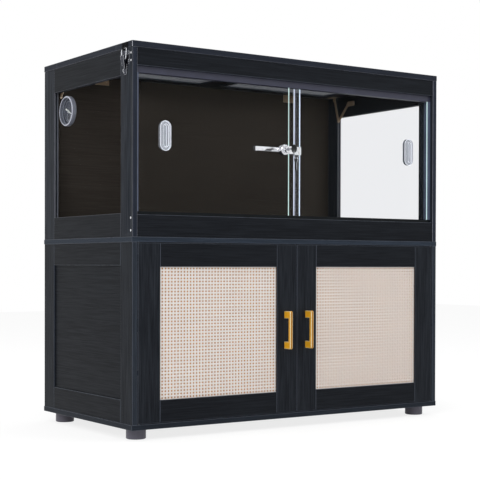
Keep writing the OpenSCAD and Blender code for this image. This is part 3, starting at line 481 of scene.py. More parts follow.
@dataclass(frozen=True)
class Moulded(Finish):
    """Moulded or extruded plastic, edging, print or paint."""

    specular: float = 0.5
    coat: float = 0.0
    glow: float = 0.0
    # Tint of upright front corners: a painted highlight.
    corner: Colour | None = None
    depth: float = 0.02 * MM

    def dress(self, surface: Surface) -> Socket:
        """A fine skin and a slow change of tone; upright corners at the front may take a painted highlight.

        A face turned between front and side has a large product of its normal's x and y.

        Args:
            surface: the material's graph and shader.

        Returns:
            The socket that goes to the output.
        """
        own: dict[str, Any] = {}
        # Painted highlight on upright corners at the front.
        if self.corner is not None:
            turned = surface.math("MULTIPLY", surface.square_on(Axis.X), surface.square_on(Axis.Y))
            ahead = surface.math("LESS_THAN", surface.along(surface.place(), Axis.Y), FRONT_EDGE_Y)
            corner = surface.math("MULTIPLY", ahead, surface.remap(turned, 0.05, 0.25))
            own["Tint"] = surface.blend(corner, self.tint, self.corner)
        height = surface.cover(surface.effects.moulded, own)
        # A glow is painted light: the surface emits its own tint.
        surface.lead({"Specular IOR Level": self.specular, "Coat Weight": self.coat,
                      "Emission Color": self.tint, "Emission Strength": self.glow})
        surface.bump(height, self.depth, 0.6)
        return surface.shader.outputs[0]


@dataclass(frozen=True)
class Clear(Finish):
    """Glass or clear plastic that lets light through to what is behind it."""

    edge: Colour = (0.75, 1.0, 0.96)
    facing: Axis | None = Axis.Y
    ior: float = 1.08
    glow: float = 0.0
    clarity: float = 1.0
    passed: Colour = (0.93, 0.95, 0.94)

    def dress(self, surface: Surface) -> Socket:
        """The narrow faces across the sheet take the edge tint, on the pulls a darker painted shade, and
        with a glow they emit it as a painted glow; rays that only carry light pass.

        Args:
            surface: the material's graph and shader.

        Returns:
            The socket that goes to the output.
        """
        surface.lead({"IOR": self.ior, "Transmission Weight": self.clarity})
        if self.facing is not None:
            across = surface.remap(surface.square_on(self.facing), 0.8, 0.4)
            # Narrow faces take the edge tint: the glass's own edge colour, on the pulls a darker painted
            # shade.
            surface.lead({"Base Color": surface.blend(across, self.tint, self.edge)})
            # Painted glow: the narrow faces emit the edge tint.
            if self.glow:
                bright = tuple(self.glow * part for part in self.edge)
                shine = surface.blend(across, (0.0, 0.0, 0.0), bright)
                surface.lead({"Emission Color": shine, "Emission Strength": 1.0})
        through = surface.node("BsdfTransparent", {"Color": self.passed})
        path = surface.node("LightPath").outputs
        carried_light = surface.math("MAXIMUM", path["Is Shadow Ray"], path["Is Diffuse Ray"])
        shaders = {0: carried_light, 1: surface.shader.outputs[0], 2: through.outputs[0]}
        return surface.node("MixShader", shaders).outputs[0]


@dataclass(frozen=True)
class Film(Finish):
    """Thin clear extrusion, seen as a faint veil with bright narrow edges; it emits its tint as a painted
    glow.
    """

    veil: float = 0.005
    rim: float = 0.9
    glow: float = 0.35
    facing: Axis = Axis.Y

    def dress(self, surface: Surface) -> Socket:
        """The alpha rises from the veil on wide faces to the rim's on narrow ones.

        Args:
            surface: the material's graph and shader.

        Returns:
            The socket that goes to the output.
        """
        alpha = surface.remap(surface.square_on(self.facing), 0.8, 0.4, self.veil, self.rim)
        # Painted glow: the strip emits its own tint.
        surface.lead({"Alpha": alpha, "Emission Color": self.tint, "Emission Strength": self.glow})
        return surface.shader.outputs[0]


@dataclass(frozen=True)
class Strand(Finish):
    """Flat cane strand with fine fibres along it, on the strand's own UV map."""

    warm: Colour = (0.6, 0.5, 0.4)
    fibres: tuple[float, float, float] = (60.0, 2600.0, 1.0)
    tones: tuple[float, float, float] = (3.0, 90.0, 1.0)
    specular: float = 0.3
    depth: float = 0.04 * MM

    def dress(self, surface: Surface) -> Socket:
        """Fibres run along u, and each strand has a slightly different tone: half fibre, half tone.

        Args:
            surface: the material's graph and shader.

        Returns:
            The socket that goes to the output.
        """
        uv = surface.node("UVMap", uv_map=STRAND_MAP).outputs[0]
        fibre = surface.noise(surface.stretch(uv, self.fibres), 1.0, 3.0)
        tone = surface.noise(surface.stretch(uv, self.tones), 1.0, 1.0)
        toned = surface.math("MULTIPLY", surface.remap(tone, 0.35, 0.65), 0.5)
        share = surface.math("MULTIPLY_ADD", surface.remap(fibre, 0.35, 0.7), 0.5, toned)
        rough = surface.remap(fibre, 0.3, 0.7, self.gloss - 0.06, self.gloss + 0.1)
        surface.lead({"Base Color": surface.blend(share, self.tint, self.warm), "Roughness": rough,
                      "Specular IOR Level": self.specular})
        surface.bump(fibre, self.depth, 0.3)
        return surface.shader.outputs[0]


class Palette:
    """Every finish of the cabinet, each made into a material when it is first asked for.

    After its name a finish takes its tint and its gloss. Then a laminate takes its light tone, a metal
    its metallic share, a moulding its specular level and a strand its warm tone.
    """

    FINISHES: tuple[Finish, ...] = (
        # Each laminate's lift paints a sheen on its upright members.
        Laminate("black_laminate"),
        Laminate("stand_side_laminate", lift=0.45, edge=(0.034, 0.042, 0.056), facing=Axis.X),
        # The tank sides' rebate tint is a painted highlight on their forward faces in the rear half.
        Laminate("tank_side_laminate", lift=1.2, edge=(0.026, 0.032, 0.048), facing=Axis.X,
                 rebate=(0.135, 0.140, 0.165)),
        Laminate("lid_laminate", edge=(0.024, 0.029, 0.042)),
        Laminate("deck_laminate", edge=(0.034, 0.046, 0.066)),
        Laminate("base_laminate", edge=(0.024, 0.030, 0.041)),
        Laminate("brown_laminate", (0.0300, 0.0245, 0.0205), 0.45, (0.0780, 0.0640, 0.0535), calm=0.4),
        # Eased board edges: lighter tints that paint highlights along them.
        Moulded("board_edge_highlight", (0.060, 0.072, 0.098), 0.3, 0.3),
        # The corner tints paint highlights on the front upright corners.
        Moulded("side_board_edge_highlight", (0.060, 0.066, 0.085), 0.3, 0.3, corner=(0.250, 0.260, 0.310)),
        Moulded("lid_board_edge_highlight", (0.075, 0.080, 0.100), 0.3, 0.3, corner=(0.70, 0.71, 0.78)),
        Moulded("foot_plastic", (0.118, 0.112, 0.146), 0.5),
        # The pane edges' glow is painted light.
        Clear("pane_glass", (0.93, 0.94, 0.94), 0.0, glow=0.85),
        Clear("window_glass", (0.90, 0.90, 0.922), 0.0, facing=Axis.X, ior=1.002),
        Clear("lens_glass", (0.97, 0.975, 0.975), 0.02, facing=None, ior=1.03),
        # The pulls' darker edge tint paints shade on their side walls.
        Clear("clear_plastic", (0.84, 0.86, 0.93), 0.06, edge=(0.30, 0.31, 0.37), ior=1.45, clarity=0.8),
        Film("strip_plastic", (0.80, 0.83, 0.97), 0.10),
        # Bright glowing rims of the pulls: a painted highlight and a painted glow.
        Moulded("plastic_edge", (0.90, 0.92, 1.0), 0.15, glow=0.4),
        Moulded("track_plastic", (0.008, 0.010, 0.012), 0.35, 0.08),
        Moulded("pale_track_plastic", (0.038, 0.040, 0.066), 0.32, 0.3),
        Moulded("stop_plastic", (0.095, 0.118, 0.185), 0.4, 0.3),
        Metal("nickel", (0.52, 0.53, 0.56), 0.16),
        Metal("bright_metal", (0.80, 0.81, 0.84), 0.10),
        Metal("dark_chrome", (0.045, 0.050, 0.066), 0.22),
        Metal("shaded_edge", (0.16, 0.17, 0.20), 0.15),
        Metal("bronze_plate", (0.40, 0.27, 0.17), 0.30, 0.6),
        # Bright eased edges of bronze parts: a painted highlight.
        Metal("bronze_edge", (1.0, 0.86, 0.68), 0.20, 0.4),
        # The handles' darker front tint is painted shade.
        Metal("brushed_gold", (1.0, 0.50, 0.020), 0.40, 0.12, lines=500.0, front=(0.44, 0.185, 0.003)),
        # Pale eased edges of the handles: a painted highlight.
        Metal("gold_edge", (1.0, 0.90, 0.58), 0.20, 0.3, lines=500.0),
        Moulded("black_plastic", (0.010, 0.010, 0.012), 0.3, coat=0.2),
        Moulded("catch_paint", (0.006, 0.006, 0.007), 0.6, 0.04),
        Moulded("gauge_paint", (0.170, 0.178, 0.225), 0.3),
        # Bright eased rim of the gauge case: a painted highlight.
        Moulded("gauge_rim_highlight", (0.72, 0.74, 0.86), 0.25),
        Moulded("dial_paint", (0.064, 0.068, 0.095), 0.4, 0.2),
        Moulded("print_pale", (0.40, 0.42, 0.50), 0.5),
        Moulded("print_white", (0.95, 0.95, 0.96), 0.5),
        Moulded("print_black", (0.008, 0.008, 0.012), 0.5),
        Moulded("net_paint", (0.14, 0.145, 0.165), 0.45),
        Strand("cane_strand", (0.92, 0.862, 0.82), 0.5, (0.81, 0.735, 0.685)),
        Moulded("cane_backing", (0.53, 0.235, 0.068), 0.7, 0.1),
        Moulded("cane_lining", (0.36, 0.285, 0.215), 0.8, 0.1),
    )

    def __init__(self) -> None:
        """Indexes the finishes and builds the shared effects."""
        self._effects = Effects()
        self._finishes = {finish.name: finish for finish in self.FINISHES}
        self._made: dict[str, bpy.types.Material] = {}

    def __getitem__(self, name: str) -> bpy.types.Material:
        """Returns the material of a finish's name."""
        if name not in self._made:
            self._made[name] = self._finishes[name].build(self._effects)
        return self._made[name]


# --------------------------------------------------------------- mesh surfaces


def placed(mesh: bpy.types.Mesh) -> bpy.types.Object:
    """Puts a mesh into the scene.

    Args:
        mesh: the mesh.

    Returns:
        An object of its name, at the origin.
    """
    made = bpy.data.objects.new(mesh.name, mesh)
    bpy.context.scene.collection.objects.link(made)
    return made


def new_piece(name: str, vertices: np.ndarray, faces: np.ndarray, smooth: bool = False) -> bpy.types.Object:
    """Puts arrays into a new mesh object at the origin.

    Args:
        name: the piece's name.
        vertices: n by 3 places in metres.
        faces: m by 4 or m by 3 vertex indices, counter-clockwise from outside.
        smooth: whether the faces shade smoothly.

    Returns:
        The object, linked to the scene.
    """
    mesh = bpy.data.meshes.new(name)
    mesh.from_pydata(np.asarray(vertices, float).tolist(), [], np.asarray(faces, int).tolist())
    mesh.polygons.foreach_set("use_smooth", np.full(len(mesh.polygons), smooth))
    mesh.update()
    return placed(mesh)


def joined(name: str, parts: Sequence[Part]) -> bpy.types.Object:
    """One piece from several parts, each part's faces counted on from the parts before it.

    Args:
        name: the piece's name.
        parts: vertices and faces of each part.

    Returns:
        The object.
    """
    starts = np.cumsum([0] + [len(points) for points, _ in parts[:-1]])
    vertices = np.concatenate([points for points, _ in parts])
    faces = np.concatenate([quads + start for (_, quads), start in zip(parts, starts)])
    return new_piece(name, vertices, faces)


def slab(name: str, low: Sequence[float], high: Sequence[float]) -> bpy.types.Object:
    """A closed block between two corners: point = low + corner * (high - low)."""
    start = np.asarray(low)
    return new_piece(name, start + BLOCK_CORNERS * (np.asarray(high) - start), BLOCK_FACES)


def tube_faces(rings: int, sides: int) -> np.ndarray:
    """Quads of a tube of rings by sides points, with its two ends closed by strips of quads.

    Args:
        rings: number of cross-sections.
        sides: points round each one, an even number.

    Returns:
        The quads, facing outwards for a counter-clockwise section seen from the path's end.
    """
    ring, side = np.meshgrid(np.arange(rings - 1), np.arange(sides), indexing="ij")
    start, nxt = ring * sides, (side + 1) % sides
    walls = np.stack([start + side, start + nxt, start + sides + nxt, start + sides + side], -1)
    low = np.arange(sides // 2 - 1)
    cap = np.stack([low, low + 1, sides - 2 - low, sides - 1 - low], -1)
    return np.concatenate([walls.reshape(-1, 4), cap[:, ::-1], cap + (rings - 1) * sides])


def carried(path: np.ndarray, across: np.ndarray, out: np.ndarray, section: np.ndarray) -> np.ndarray:
    """A profile carried along paths: point = path + across * s + out * t for each profile point (s, t).

    Args:
        path: ... by n by 3 places.
        across: direction of the profile's first number.
        out: direction of the profile's second number.
        section: k by 2 profile points.

    Returns:
        ... by n by k by 3 places.
    """
    return path[..., None, :] + section[:, :1] * across + section[:, 1:] * out


def copies(faces: np.ndarray, count: int, stride: int) -> np.ndarray:
    """Repeats the faces of one shape for count shapes of stride vertices each."""
    return (faces[None] + (np.arange(count) * stride)[:, None, None]).reshape(-1, faces.shape[1])


def islands(mesh: bmesh.types.BMesh) -> list[list[bmesh.types.BMVert]]:
    """Splits a mesh into its connected shells.

    Args:
        mesh: the mesh.

    Returns:
        One list of vertices for each shell.
    """
    seen: set[int] = set()
    found = []
    for start in mesh.verts:
        if start.index in seen:
            continue
        seen.add(start.index)
        shell, queue = [], [start]
        while queue:
            vertex = queue.pop()
            shell.append(vertex)
            for edge in vertex.link_edges:
                other = edge.other_vert(vertex)
                if other.index not in seen:
                    seen.add(other.index)
                    queue.append(other)
        found.append(shell)
    return found


def shell_boxes(cad: bpy.types.Object) -> list[tuple[np.ndarray, np.ndarray]]:
    """Finds the box round each connected shell of a CAD node.

    Args:
        cad: the node's object.

    Returns:
        The lowest and highest corner of each shell, in order along X.
    """
    mesh = bmesh.new()
    mesh.from_mesh(cad.data)
    bmesh.ops.remove_doubles(mesh, verts=mesh.verts, dist=MERGED)
    mesh.verts.index_update()
    shells = [np.array([v.co for v in shell]) for shell in islands(mesh)]
    mesh.free()
    return sorted(((s.min(0), s.max(0)) for s in shells), key=lambda box: float(box[0][0]))


def eased_copy(node: str, cad: bpy.types.Object, round_over: float) -> bpy.types.Object:
    """A merged copy of a CAD node with its sharp edges eased and its grain laid along each member.

    The eased strips take the piece's second finish. The grain attribute of a vertex is its place with
    the member's longest direction first, moved on by a step for each member, so that members that lie
    side by side differ in figure. The step's length depends on how long the node's name is. A second
    attribute is 1 on slender upright members and 0 on all others.

    Args:
        node: the CAD node's name.
        cad: its object.
        round_over: width of the eased edge.

    Returns:
        The new piece.
    """
    mesh = bmesh.new()
    mesh.from_mesh(cad.data)
    bmesh.ops.remove_doubles(mesh, verts=mesh.verts, dist=MERGED)
    bmesh.ops.dissolve_limit(mesh, angle_limit=LEVEL, verts=mesh.verts, edges=mesh.edges)
    mesh.verts.index_update()
    mesh.verts.layers.float_vector.new(GRAIN)
    mesh.verts.layers.float.new(UPRIGHT)
    grain, standing = mesh.verts.layers.float_vector[GRAIN], mesh.verts.layers.float[UPRIGHT]
    stride = 1 + len(node) % 5
    for count, shell in enumerate(islands(mesh)):
        places = np.array([v.co for v in shell])
        size = places.max(0) - places.min(0)
        order = np.argsort(-size, kind="stable")
        moved = places[:, order] + GRAIN_STEP * (count + 1) * stride
        slender = order[0] == Axis.Z.value and size[order[0]] > SLENDER * size[order[1]]
        for vertex, value in zip(shell, moved):
            vertex[grain] = Vector(value)
            vertex[standing] = float(slender)
    data = bpy.data.meshes.new(node + "_eased")
    mesh.to_mesh(data)
    mesh.free()
    data.polygons.foreach_set("use_smooth", np.full(len(data.polygons), True))
    data.set_sharp_from_angle(angle=SHARP)
    made = placed(data)
    bevel = made.modifiers.new("eased_edge", "BEVEL")
    bevel.width = round_over
    bevel.segments = 2
    bevel.limit_method = "ANGLE"
    bevel.angle_limit = SHARP
    bevel.use_clamp_overlap = False
    bevel.harden_normals = True
    bevel.material = 1
    return made


# ---------------------------------------------------------------- the cabinet


class Shop:
    """What every builder needs: the frame, the finishes and the way a piece is fitted."""

    def __init__(self, frame: dict[str, Any]) -> None:
        """Keeps the loaded frame and makes the palette.
        """
        self.nodes: dict[str, bpy.types.Object] = frame["nodes"]
        bodies = frame["record"]["behaviour"]["bodies"]
        self.body_of = {node: body for body, members in bodies.items() for node in members}
        self.slot_of = {part["node"]: part["material_slot"] for part in frame["record"]["subparts"]}
        self.finishes = Palette()

    def paint(self, finish: str, *nodes: str) -> None:
        """Gives CAD nodes that stay as they are a finish.

        Args:
            finish: the finish's name.
            nodes: the nodes' names.
        """
        for node in nodes:
            data = self.nodes[node].data
            data.materials.clear()
            data.materials.append(self.finishes[finish])
            LOG.info("painted %s with %s", node, finish)

    def fit(self, piece: bpy.types.Object, node: str, *finishes: str, stands_for: bool = True) -> None:
        """Gives a new piece its finishes and the body of the node it belongs to, and hides that node where
        the piece stands for it.

        Args:
            piece: the new object.
            node: the CAD node that it stands for or sits on.
            finishes: its finish, and where it has one the finish of its eased edges.
            stands_for: whether the node is hidden.
        """
        piece.data.materials.clear()
        for finish in finishes:
            piece.data.materials.append(self.finishes[finish])
        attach(piece, self.body_of[node])
        if stands_for:
            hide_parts(node)
        self.slot_of[node]
        LOG.info("fitted %s on %s", piece.name, self.body_of[node])


@dataclass
class Boards:
    """All wooden members with eased edges and running grain.

    Each set names the boards' finish, the finish of their eased edges, a lighter tone that paints a
    highlight along them, and the nodes.
    """

    shop: Shop
    ease: float = 0.9 * MM
    sets: tuple[tuple[str, str, tuple[str, ...]], ...] = (
        ("black_laminate", "board_edge_highlight", ("stand_side_panels", "front_top_rail", "front_bottom_rail",
                                          "lid_mesh_trims", "door_left_frame", "door_right_frame")),
        ("stand_side_laminate", "board_edge_highlight", ("stand_left_frame", "stand_right_frame")),
        ("tank_side_laminate", "side_board_edge_highlight", ("tank_left_frame", "tank_right_frame")),
        ("lid_laminate", "lid_board_edge_highlight", ("lid_board",)),
        ("deck_laminate", "board_edge_highlight", ("deck_board",)),
        ("base_laminate", "board_edge_highlight", ("base_board",)),
        ("brown_laminate", "board_edge_highlight", ("stand_back", "stand_divider", "stand_shelves", "tank_back")),
    )

    def build(self) -> None:
        """Makes one eased copy for each node."""
        for finish, edge, nodes in self.sets:
            for node in nodes:
                self.shop.fit(eased_copy(node, self.shop.nodes[node], self.ease), node, finish, edge)


@dataclass
class CanePanel:
    """A sheet of flat cane strands woven one over one, with a warm backing and a lining behind it.

    Pitches, holes and thicknesses are in metres, flat is the share of a strand's width that is flat,
    and steps counts the path's points for each half wave.
    """

    shop: Shop
    side: str
    pitch_x: float = 11.0 * MM
    pitch_z: float = 9.9 * MM
    hole_x: float = 4.6 * MM
    hole_z: float = 4.6 * MM
    wave: float = 0.33 * MM
    thick: float = 0.45 * MM
    flat: float = 0.8
    backing: float = 0.3 * MM
    lining: float = 0.1 * MM
    inset: float = 0.1 * MM
    steps: int = 2

    def build(self) -> None:
        """Makes the weave, its backing and the lining in the place of the CAD sheet."""
        node = f"door_{self.side}_cane"
        low, high = (np.array(corner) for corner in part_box(node))
        middle = low[1] + self.inset + self.wave + self.thick / 2
        centre = (low + high) / 2
        upright = self._strands(low, high, centre, middle, Axis.Z)
        level = self._strands(low, high, centre, middle, Axis.X)
        faces = np.concatenate([upright[1], level[1] + len(upright[0])])
        weave = new_piece(node + "_weave", np.concatenate([upright[0], level[0]]), faces, smooth=True)
        self._map(weave, np.concatenate([upright[2], level[2]]))
        self.shop.fit(weave, node, "cane_strand")
        behind = high[1] - self.lining
        front = behind - self.backing
        backing = slab(node + "_backing", (low[0], front, low[2]), (high[0], behind, high[2]))
        self.shop.fit(backing, node, "cane_backing")
        lining = slab(node + "_lining", (low[0], behind, low[2]), high)
        self.shop.fit(lining, node, "cane_lining")

    def _strands(self, low: np.ndarray, high: np.ndarray, centre: np.ndarray, middle: float,
                 along: Axis) -> tuple[np.ndarray, np.ndarray, np.ndarray]:
        """All strands of one direction.

        A strand's path is straight in the sheet and cos-shaped across it, one crest at each
        crossing, with neighbours in counter phase: y = middle + wave * cos(pi * (t + row)).

        Args:
            low: the sheet's lowest corner.
            high: its highest corner.
            centre: its middle, about which the strands are spread.
            middle: the y of the weave's mid plane.
            along: the strands' direction.

        Returns:
            Vertices, faces and one (u, v) for each vertex.
        """
        other = Axis.X if along is Axis.Z else Axis.Z
        pitch, gap = (self.pitch_x, self.hole_x) if other is Axis.X else (self.pitch_z, self.hole_z)
        step = self.pitch_z if along is Axis.Z else self.pitch_x
        width = pitch - gap
        count = int((high[other.value] - low[other.value] - width) // pitch)
        rows = centre[other.value] + (np.arange(count) - (count - 1) / 2) * pitch
        length = high[along.value] - low[along.value]
        crossings = int(length // step)
        turns = np.linspace(-crossings / 2, crossings / 2, crossings * self.steps * 2 + 1)
        sign = 1.0 if along is Axis.Z else -1.0
        phase = turns[None] + 0.5 * (crossings % 2) + np.arange(count)[:, None]
        path = np.zeros((count, len(turns), 3))
        path[..., along.value] = centre[along.value] + turns * step
        path[..., other.value] = rows[:, None]
        path[..., Axis.Y.value] = middle + sign * self.wave * np.cos(np.pi * phase)
        half, deep = width / 2, self.thick / 2
        flat = self.flat * half
        section = np.array([[-half, 0.0], [-flat, -deep], [flat, -deep],
                            [half, 0.0], [flat, deep], [-flat, deep]])
        if along is Axis.X:
            section = section * np.array([-1.0, 1.0])
        points = carried(path, np.eye(3)[other.value], np.eye(3)[Axis.Y.value], section)
        sides = len(section)
        faces = copies(tube_faces(len(turns), sides), count, len(turns) * sides)
        u = np.broadcast_to((turns * step)[None, :, None], points.shape[:-1])
        v = np.broadcast_to(section[:, 0][None, None], points.shape[:-1]) + rows[:, None, None]
        return points.reshape(-1, 3), faces, np.stack([u, v], -1).reshape(-1, 2)

    @staticmethod
    def _map(piece: bpy.types.Object, places: np.ndarray) -> None:
        """Writes the strand UV map.

        Args:
            piece: the weave.
            places: one (u, v) for each vertex.
        """
        layer = piece.data.uv_layers.new(name=STRAND_MAP)
        corners = np.zeros(len(piece.data.loops), int)
        piece.data.loops.foreach_get("vertex_index", corners)
        layer.data.foreach_set("uv", places[corners].astype(np.float32).ravel())


@dataclass
class WireNet:
    """The lid's fine net: straight wires in two crossing layers in each window.

    The upper layer lies below the window's top by the given share of a wire's width.
    """

    shop: Shop
    pitch: float = 3.4 * MM
    wire: float = 0.55 * MM
    below_top: float = 0.6
    sides: int = 4

    def build(self) -> None:
        """Makes both windows' wires as one piece in place of the CAD net."""
        parts = []
        for low, high in shell_boxes(self.shop.nodes["lid_meshes"]):
            parts.append(self._layer(low, high, Axis.X, low[2] + self.wire))
            parts.append(self._layer(low, high, Axis.Y, high[2] - self.wire * self.below_top))
        self.shop.fit(joined("lid_wire_net", parts), "lid_meshes", "net_paint")

    def _layer(self, low: np.ndarray, high: np.ndarray, along: Axis, height: float) -> Part:
        """All wires of one direction, each a square bar turned on its edge.

        Args:
            low: the window's lowest corner.
            high: its highest corner.
            along: the wires' direction.
            height: the wires' z.

        Returns:
            Vertices and faces.
        """
        other = Axis.Y if along is Axis.X else Axis.X
        count = int((high[other.value] - low[other.value]) // self.pitch)
        path = np.zeros((count, 2, 3))
        path[:, :, other.value] = (low[other.value] + (np.arange(count) + 0.5) * self.pitch)[:, None]
        path[:, 0, along.value] = low[along.value]
        path[:, 1, along.value] = high[along.value]
        path[..., Axis.Z.value] = height
        turn = np.arange(self.sides) * 2 * np.pi / self.sides
        direction = 1.0 if along is Axis.Y else -1.0
        section = self.wire / 2 * np.stack([np.cos(turn) * direction, np.sin(turn)], -1)
        points = carried(path, np.eye(3)[other.value], np.eye(3)[Axis.Z.value], section)
        return points.reshape(-1, 3), copies(tube_faces(2, self.sides)[:, ::-1], count, 2 * self.sides)


@dataclass(frozen=True)
class Scale:
    """One set of the gauge's tick marks: how many, how long and how wide."""

    count: int
    length: float
    width: float


@dataclass
class Gauge:
    """The round gauge on the left side: its finishes and the marks printed on its dial.

    The sweep is in degrees from straight up, and the lift is how far a mark stands off the dial.
    """

    OUT: ClassVar[np.ndarray] = np.array([-1.0, 0.0, 0.0])
    shop: Shop
    ease: float = 1.2 * MM
    lift: float = 0.12 * MM
    sweep: tuple[float, float] = (-130.0, 130.0)
    majors: Scale = Scale(11, 7.0 * MM, 2.2 * MM)
    minors: Scale = Scale(51, 3.5 * MM, 0.6 * MM)
    lowers: Scale = Scale(11, 2.5 * MM, 0.8 * MM)
    margin: float = 2.0 * MM
    outer_ring: float = 2.2 * MM
    inner_ring: float = 1.0 * MM
    inner_gap: float = 4.0 * MM
    lower_drop: float = 17.0 * MM
    lower_radius: float = 12.0 * MM
    lower_inset: float = 1.5 * MM
    lower_ring: float = 1.6 * MM
    steps: int = 96
    lower_steps: int = 64

    def build(self) -> None:
        """Eases the case, paints the dial and lays its marks on it."""
        case = eased_copy("gauge_case", self.shop.nodes["gauge_case"], self.ease)
        # The case's eased rim takes a painted highlight tint.
        self.shop.fit(case, "gauge_case", "gauge_paint", "gauge_rim_highlight")
        self.shop.paint("dial_paint", "gauge_dial")
        self.shop.paint("lens_glass", "gauge_lens")
        self.shop.paint("print_white", "gauge_pointer")
        low, high = (np.array(corner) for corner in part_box("gauge_dial"))
        face = np.array([low[0], (low[1] + high[1]) / 2, (low[2] + high[2]) / 2])
        lower = face - np.array([0.0, 0.0, self.lower_drop])
        edge = (high[2] - low[2]) / 2 - self.margin
        inner = edge - self.majors.length - self.inner_gap
        dark = [self._ticks(face, edge - self.margin, self.majors),
                self._ticks(face, edge - self.margin, self.minors),
                self._ticks(lower, self.lower_radius - self.lower_inset, self.lowers)]
        pale = [self._ring(face, edge, self.outer_ring, self.steps),
                self._ring(face, inner, self.inner_ring, self.steps),
                self._ring(lower, self.lower_radius, self.lower_ring, self.lower_steps)]
        self.shop.fit(joined("gauge_ticks", dark), "gauge_dial", "print_black", stands_for=False)
        self.shop.fit(joined("gauge_rings", pale), "gauge_dial", "print_pale", stands_for=False)

    def _ticks(self, centre: np.ndarray, outer: float, scale: Scale) -> Part:
        """Radial bars spread over the sweep: corner = centre + radial * r + tangent * w, raised by lift.

        Args:
            centre: the middle of their circle on the dial's outer face.
            outer: radius of their outer ends.
            scale: their number, length and width.

        Returns:
            Vertices and faces.
        """
        angle = np.radians(np.linspace(*self.sweep, scale.count))
        level = np.zeros(scale.count)
        radial = np.stack([level, -np.sin(angle), np.cos(angle)], -1)
        tangent = np.stack([level, np.cos(angle), np.sin(angle)], -1)
        along = outer - scale.length + BLOCK_CORNERS[:, 0] * scale.length
        across = (BLOCK_CORNERS[:, 1] - 0.5) * scale.width
        out = self.OUT * (BLOCK_CORNERS[:, 2] * self.lift)[:, None]
        points = centre + radial[:, None] * along[:, None] + tangent[:, None] * across[:, None] + out
        return points.reshape(-1, 3), copies(BLOCK_FACES, scale.count, len(BLOCK_CORNERS))

    def _ring(self, centre: np.ndarray, radius: float, width: float, steps: int) -> Part:
        """A flat ring: point = centre + radial * (radius + s) + out * t for a rectangle's points (s, t).

        Args:
            centre: its middle on the dial's outer face.
            radius: its middle radius.
            width: its radial width.
            steps: points round it.

        Returns:
            Vertices and faces.
        """
        turn = np.arange(steps) * 2 * np.pi / steps
        radial = np.stack([np.zeros(steps), np.sin(turn), np.cos(turn)], -1)
        half = width / 2
        corner = np.array([[-half, 0.0], [half, 0.0], [half, self.lift], [-half, self.lift]])
        out = self.OUT * corner[None, :, 1:]
        points = centre + radial[:, None] * (radius + corner[None, :, :1]) + out
        sides = len(corner)
        ring, side = np.meshgrid(np.arange(steps), np.arange(sides), indexing="ij")
        start, far, nxt = ring * sides, (ring + 1) % steps * sides, (side + 1) % sides
        quads = np.stack([start + side, start + nxt, far + nxt, far + side], -1)
        return points.reshape(-1, 3), quads.reshape(-1, sides)


@dataclass(frozen=True)
class Trim:
    """How one kind of hardware is finished: its faces, its eased edges and their width."""

    faces: str
    edges: str
    ease: float
    nodes: tuple[str, ...]


@dataclass
class Hardware:
    """Metal, glass and plastic parts: some painted as they are, some with eased edges in a bright painted
    highlight or a dark painted shade.
    """

    shop: Shop
    painted: dict[str, tuple[str, ...]] = field(default_factory=lambda: {
        "foot_plastic": ("feet",),
        "pane_glass": ("pane_left", "pane_right"),
        "window_glass": ("tank_side_windows",),
        "strip_plastic": ("seal_strip",),
        "pale_track_plastic": ("top_track",),
        "track_plastic": ("bottom_track",),
        "stop_plastic": ("pane_stops",),
        "bright_metal": ("side_screws",),
        "nickel": ("latch_staples", "latch_bail_left", "latch_bail_right", "key_blade", "key_ring_set"),
        "black_plastic": ("lock_bar_tip", "key_head", "door_left_pivots", "door_right_pivots"),
    })
    trimmed: tuple[Trim, ...] = (
        # Latches: bright nickel eased edges on dark faces are a painted highlight.
        Trim("dark_chrome", "nickel", 0.4 * MM, ("latch_bases", "latch_lever_left", "latch_lever_right")),
        Trim("catch_paint", "catch_paint", 0.4 * MM, ("latch_catches",)),
        Trim("bright_metal", "shaded_edge", 0.5 * MM, ("lock_bar", "lock_housing")),
        Trim("bronze_plate", "bronze_edge", 0.45 * MM,
             ("stay_wall_brackets", "stay_lid_brackets", "stay_lower_left", "stay_lower_right",
              "stay_upper_left", "stay_upper_right", "lid_hinge_fixed_leaves", "lid_hinge_moving_leaves")),
        Trim("brushed_gold", "gold_edge", 1.5 * MM, ("door_left_handle", "door_right_handle")),
        Trim("clear_plastic", "plastic_edge", 1.0 * MM, ("pull_left", "pull_right")),
    )

    def build(self) -> None:
        """Paints the plain nodes and makes an eased copy of each trimmed one."""
        for finish, nodes in self.painted.items():
            self.shop.paint(finish, *nodes)
        for trim in self.trimmed:
            for node in trim.nodes:
                piece = eased_copy(node, self.shop.nodes[node], trim.ease)
                self.shop.fit(piece, node, trim.faces, trim.edges)


# ------------------------------------------------------------------ the studio


@dataclass(frozen=True)
class Lamp:
    """A square soft lamp: where it hangs, what it faces, its edge in metres and its power in watts."""

    name: str
    place: Point
    aim: Point
    size: float
    power: float

    def hang(self) -> None:
        """Adds the lamp to the scene."""
        data = bpy.data.lights.new(self.name, "AREA")
        data.size = self.size
        data.energy = self.power
        made = bpy.data.objects.new(self.name, data)
        turn = (Vector(self.aim) - Vector(self.place)).to_track_quat("-Z", "Y")
        made.matrix_world = Matrix.Translation(self.place) @ turn.to_matrix().to_4x4()
        bpy.context.scene.collection.objects.link(made)


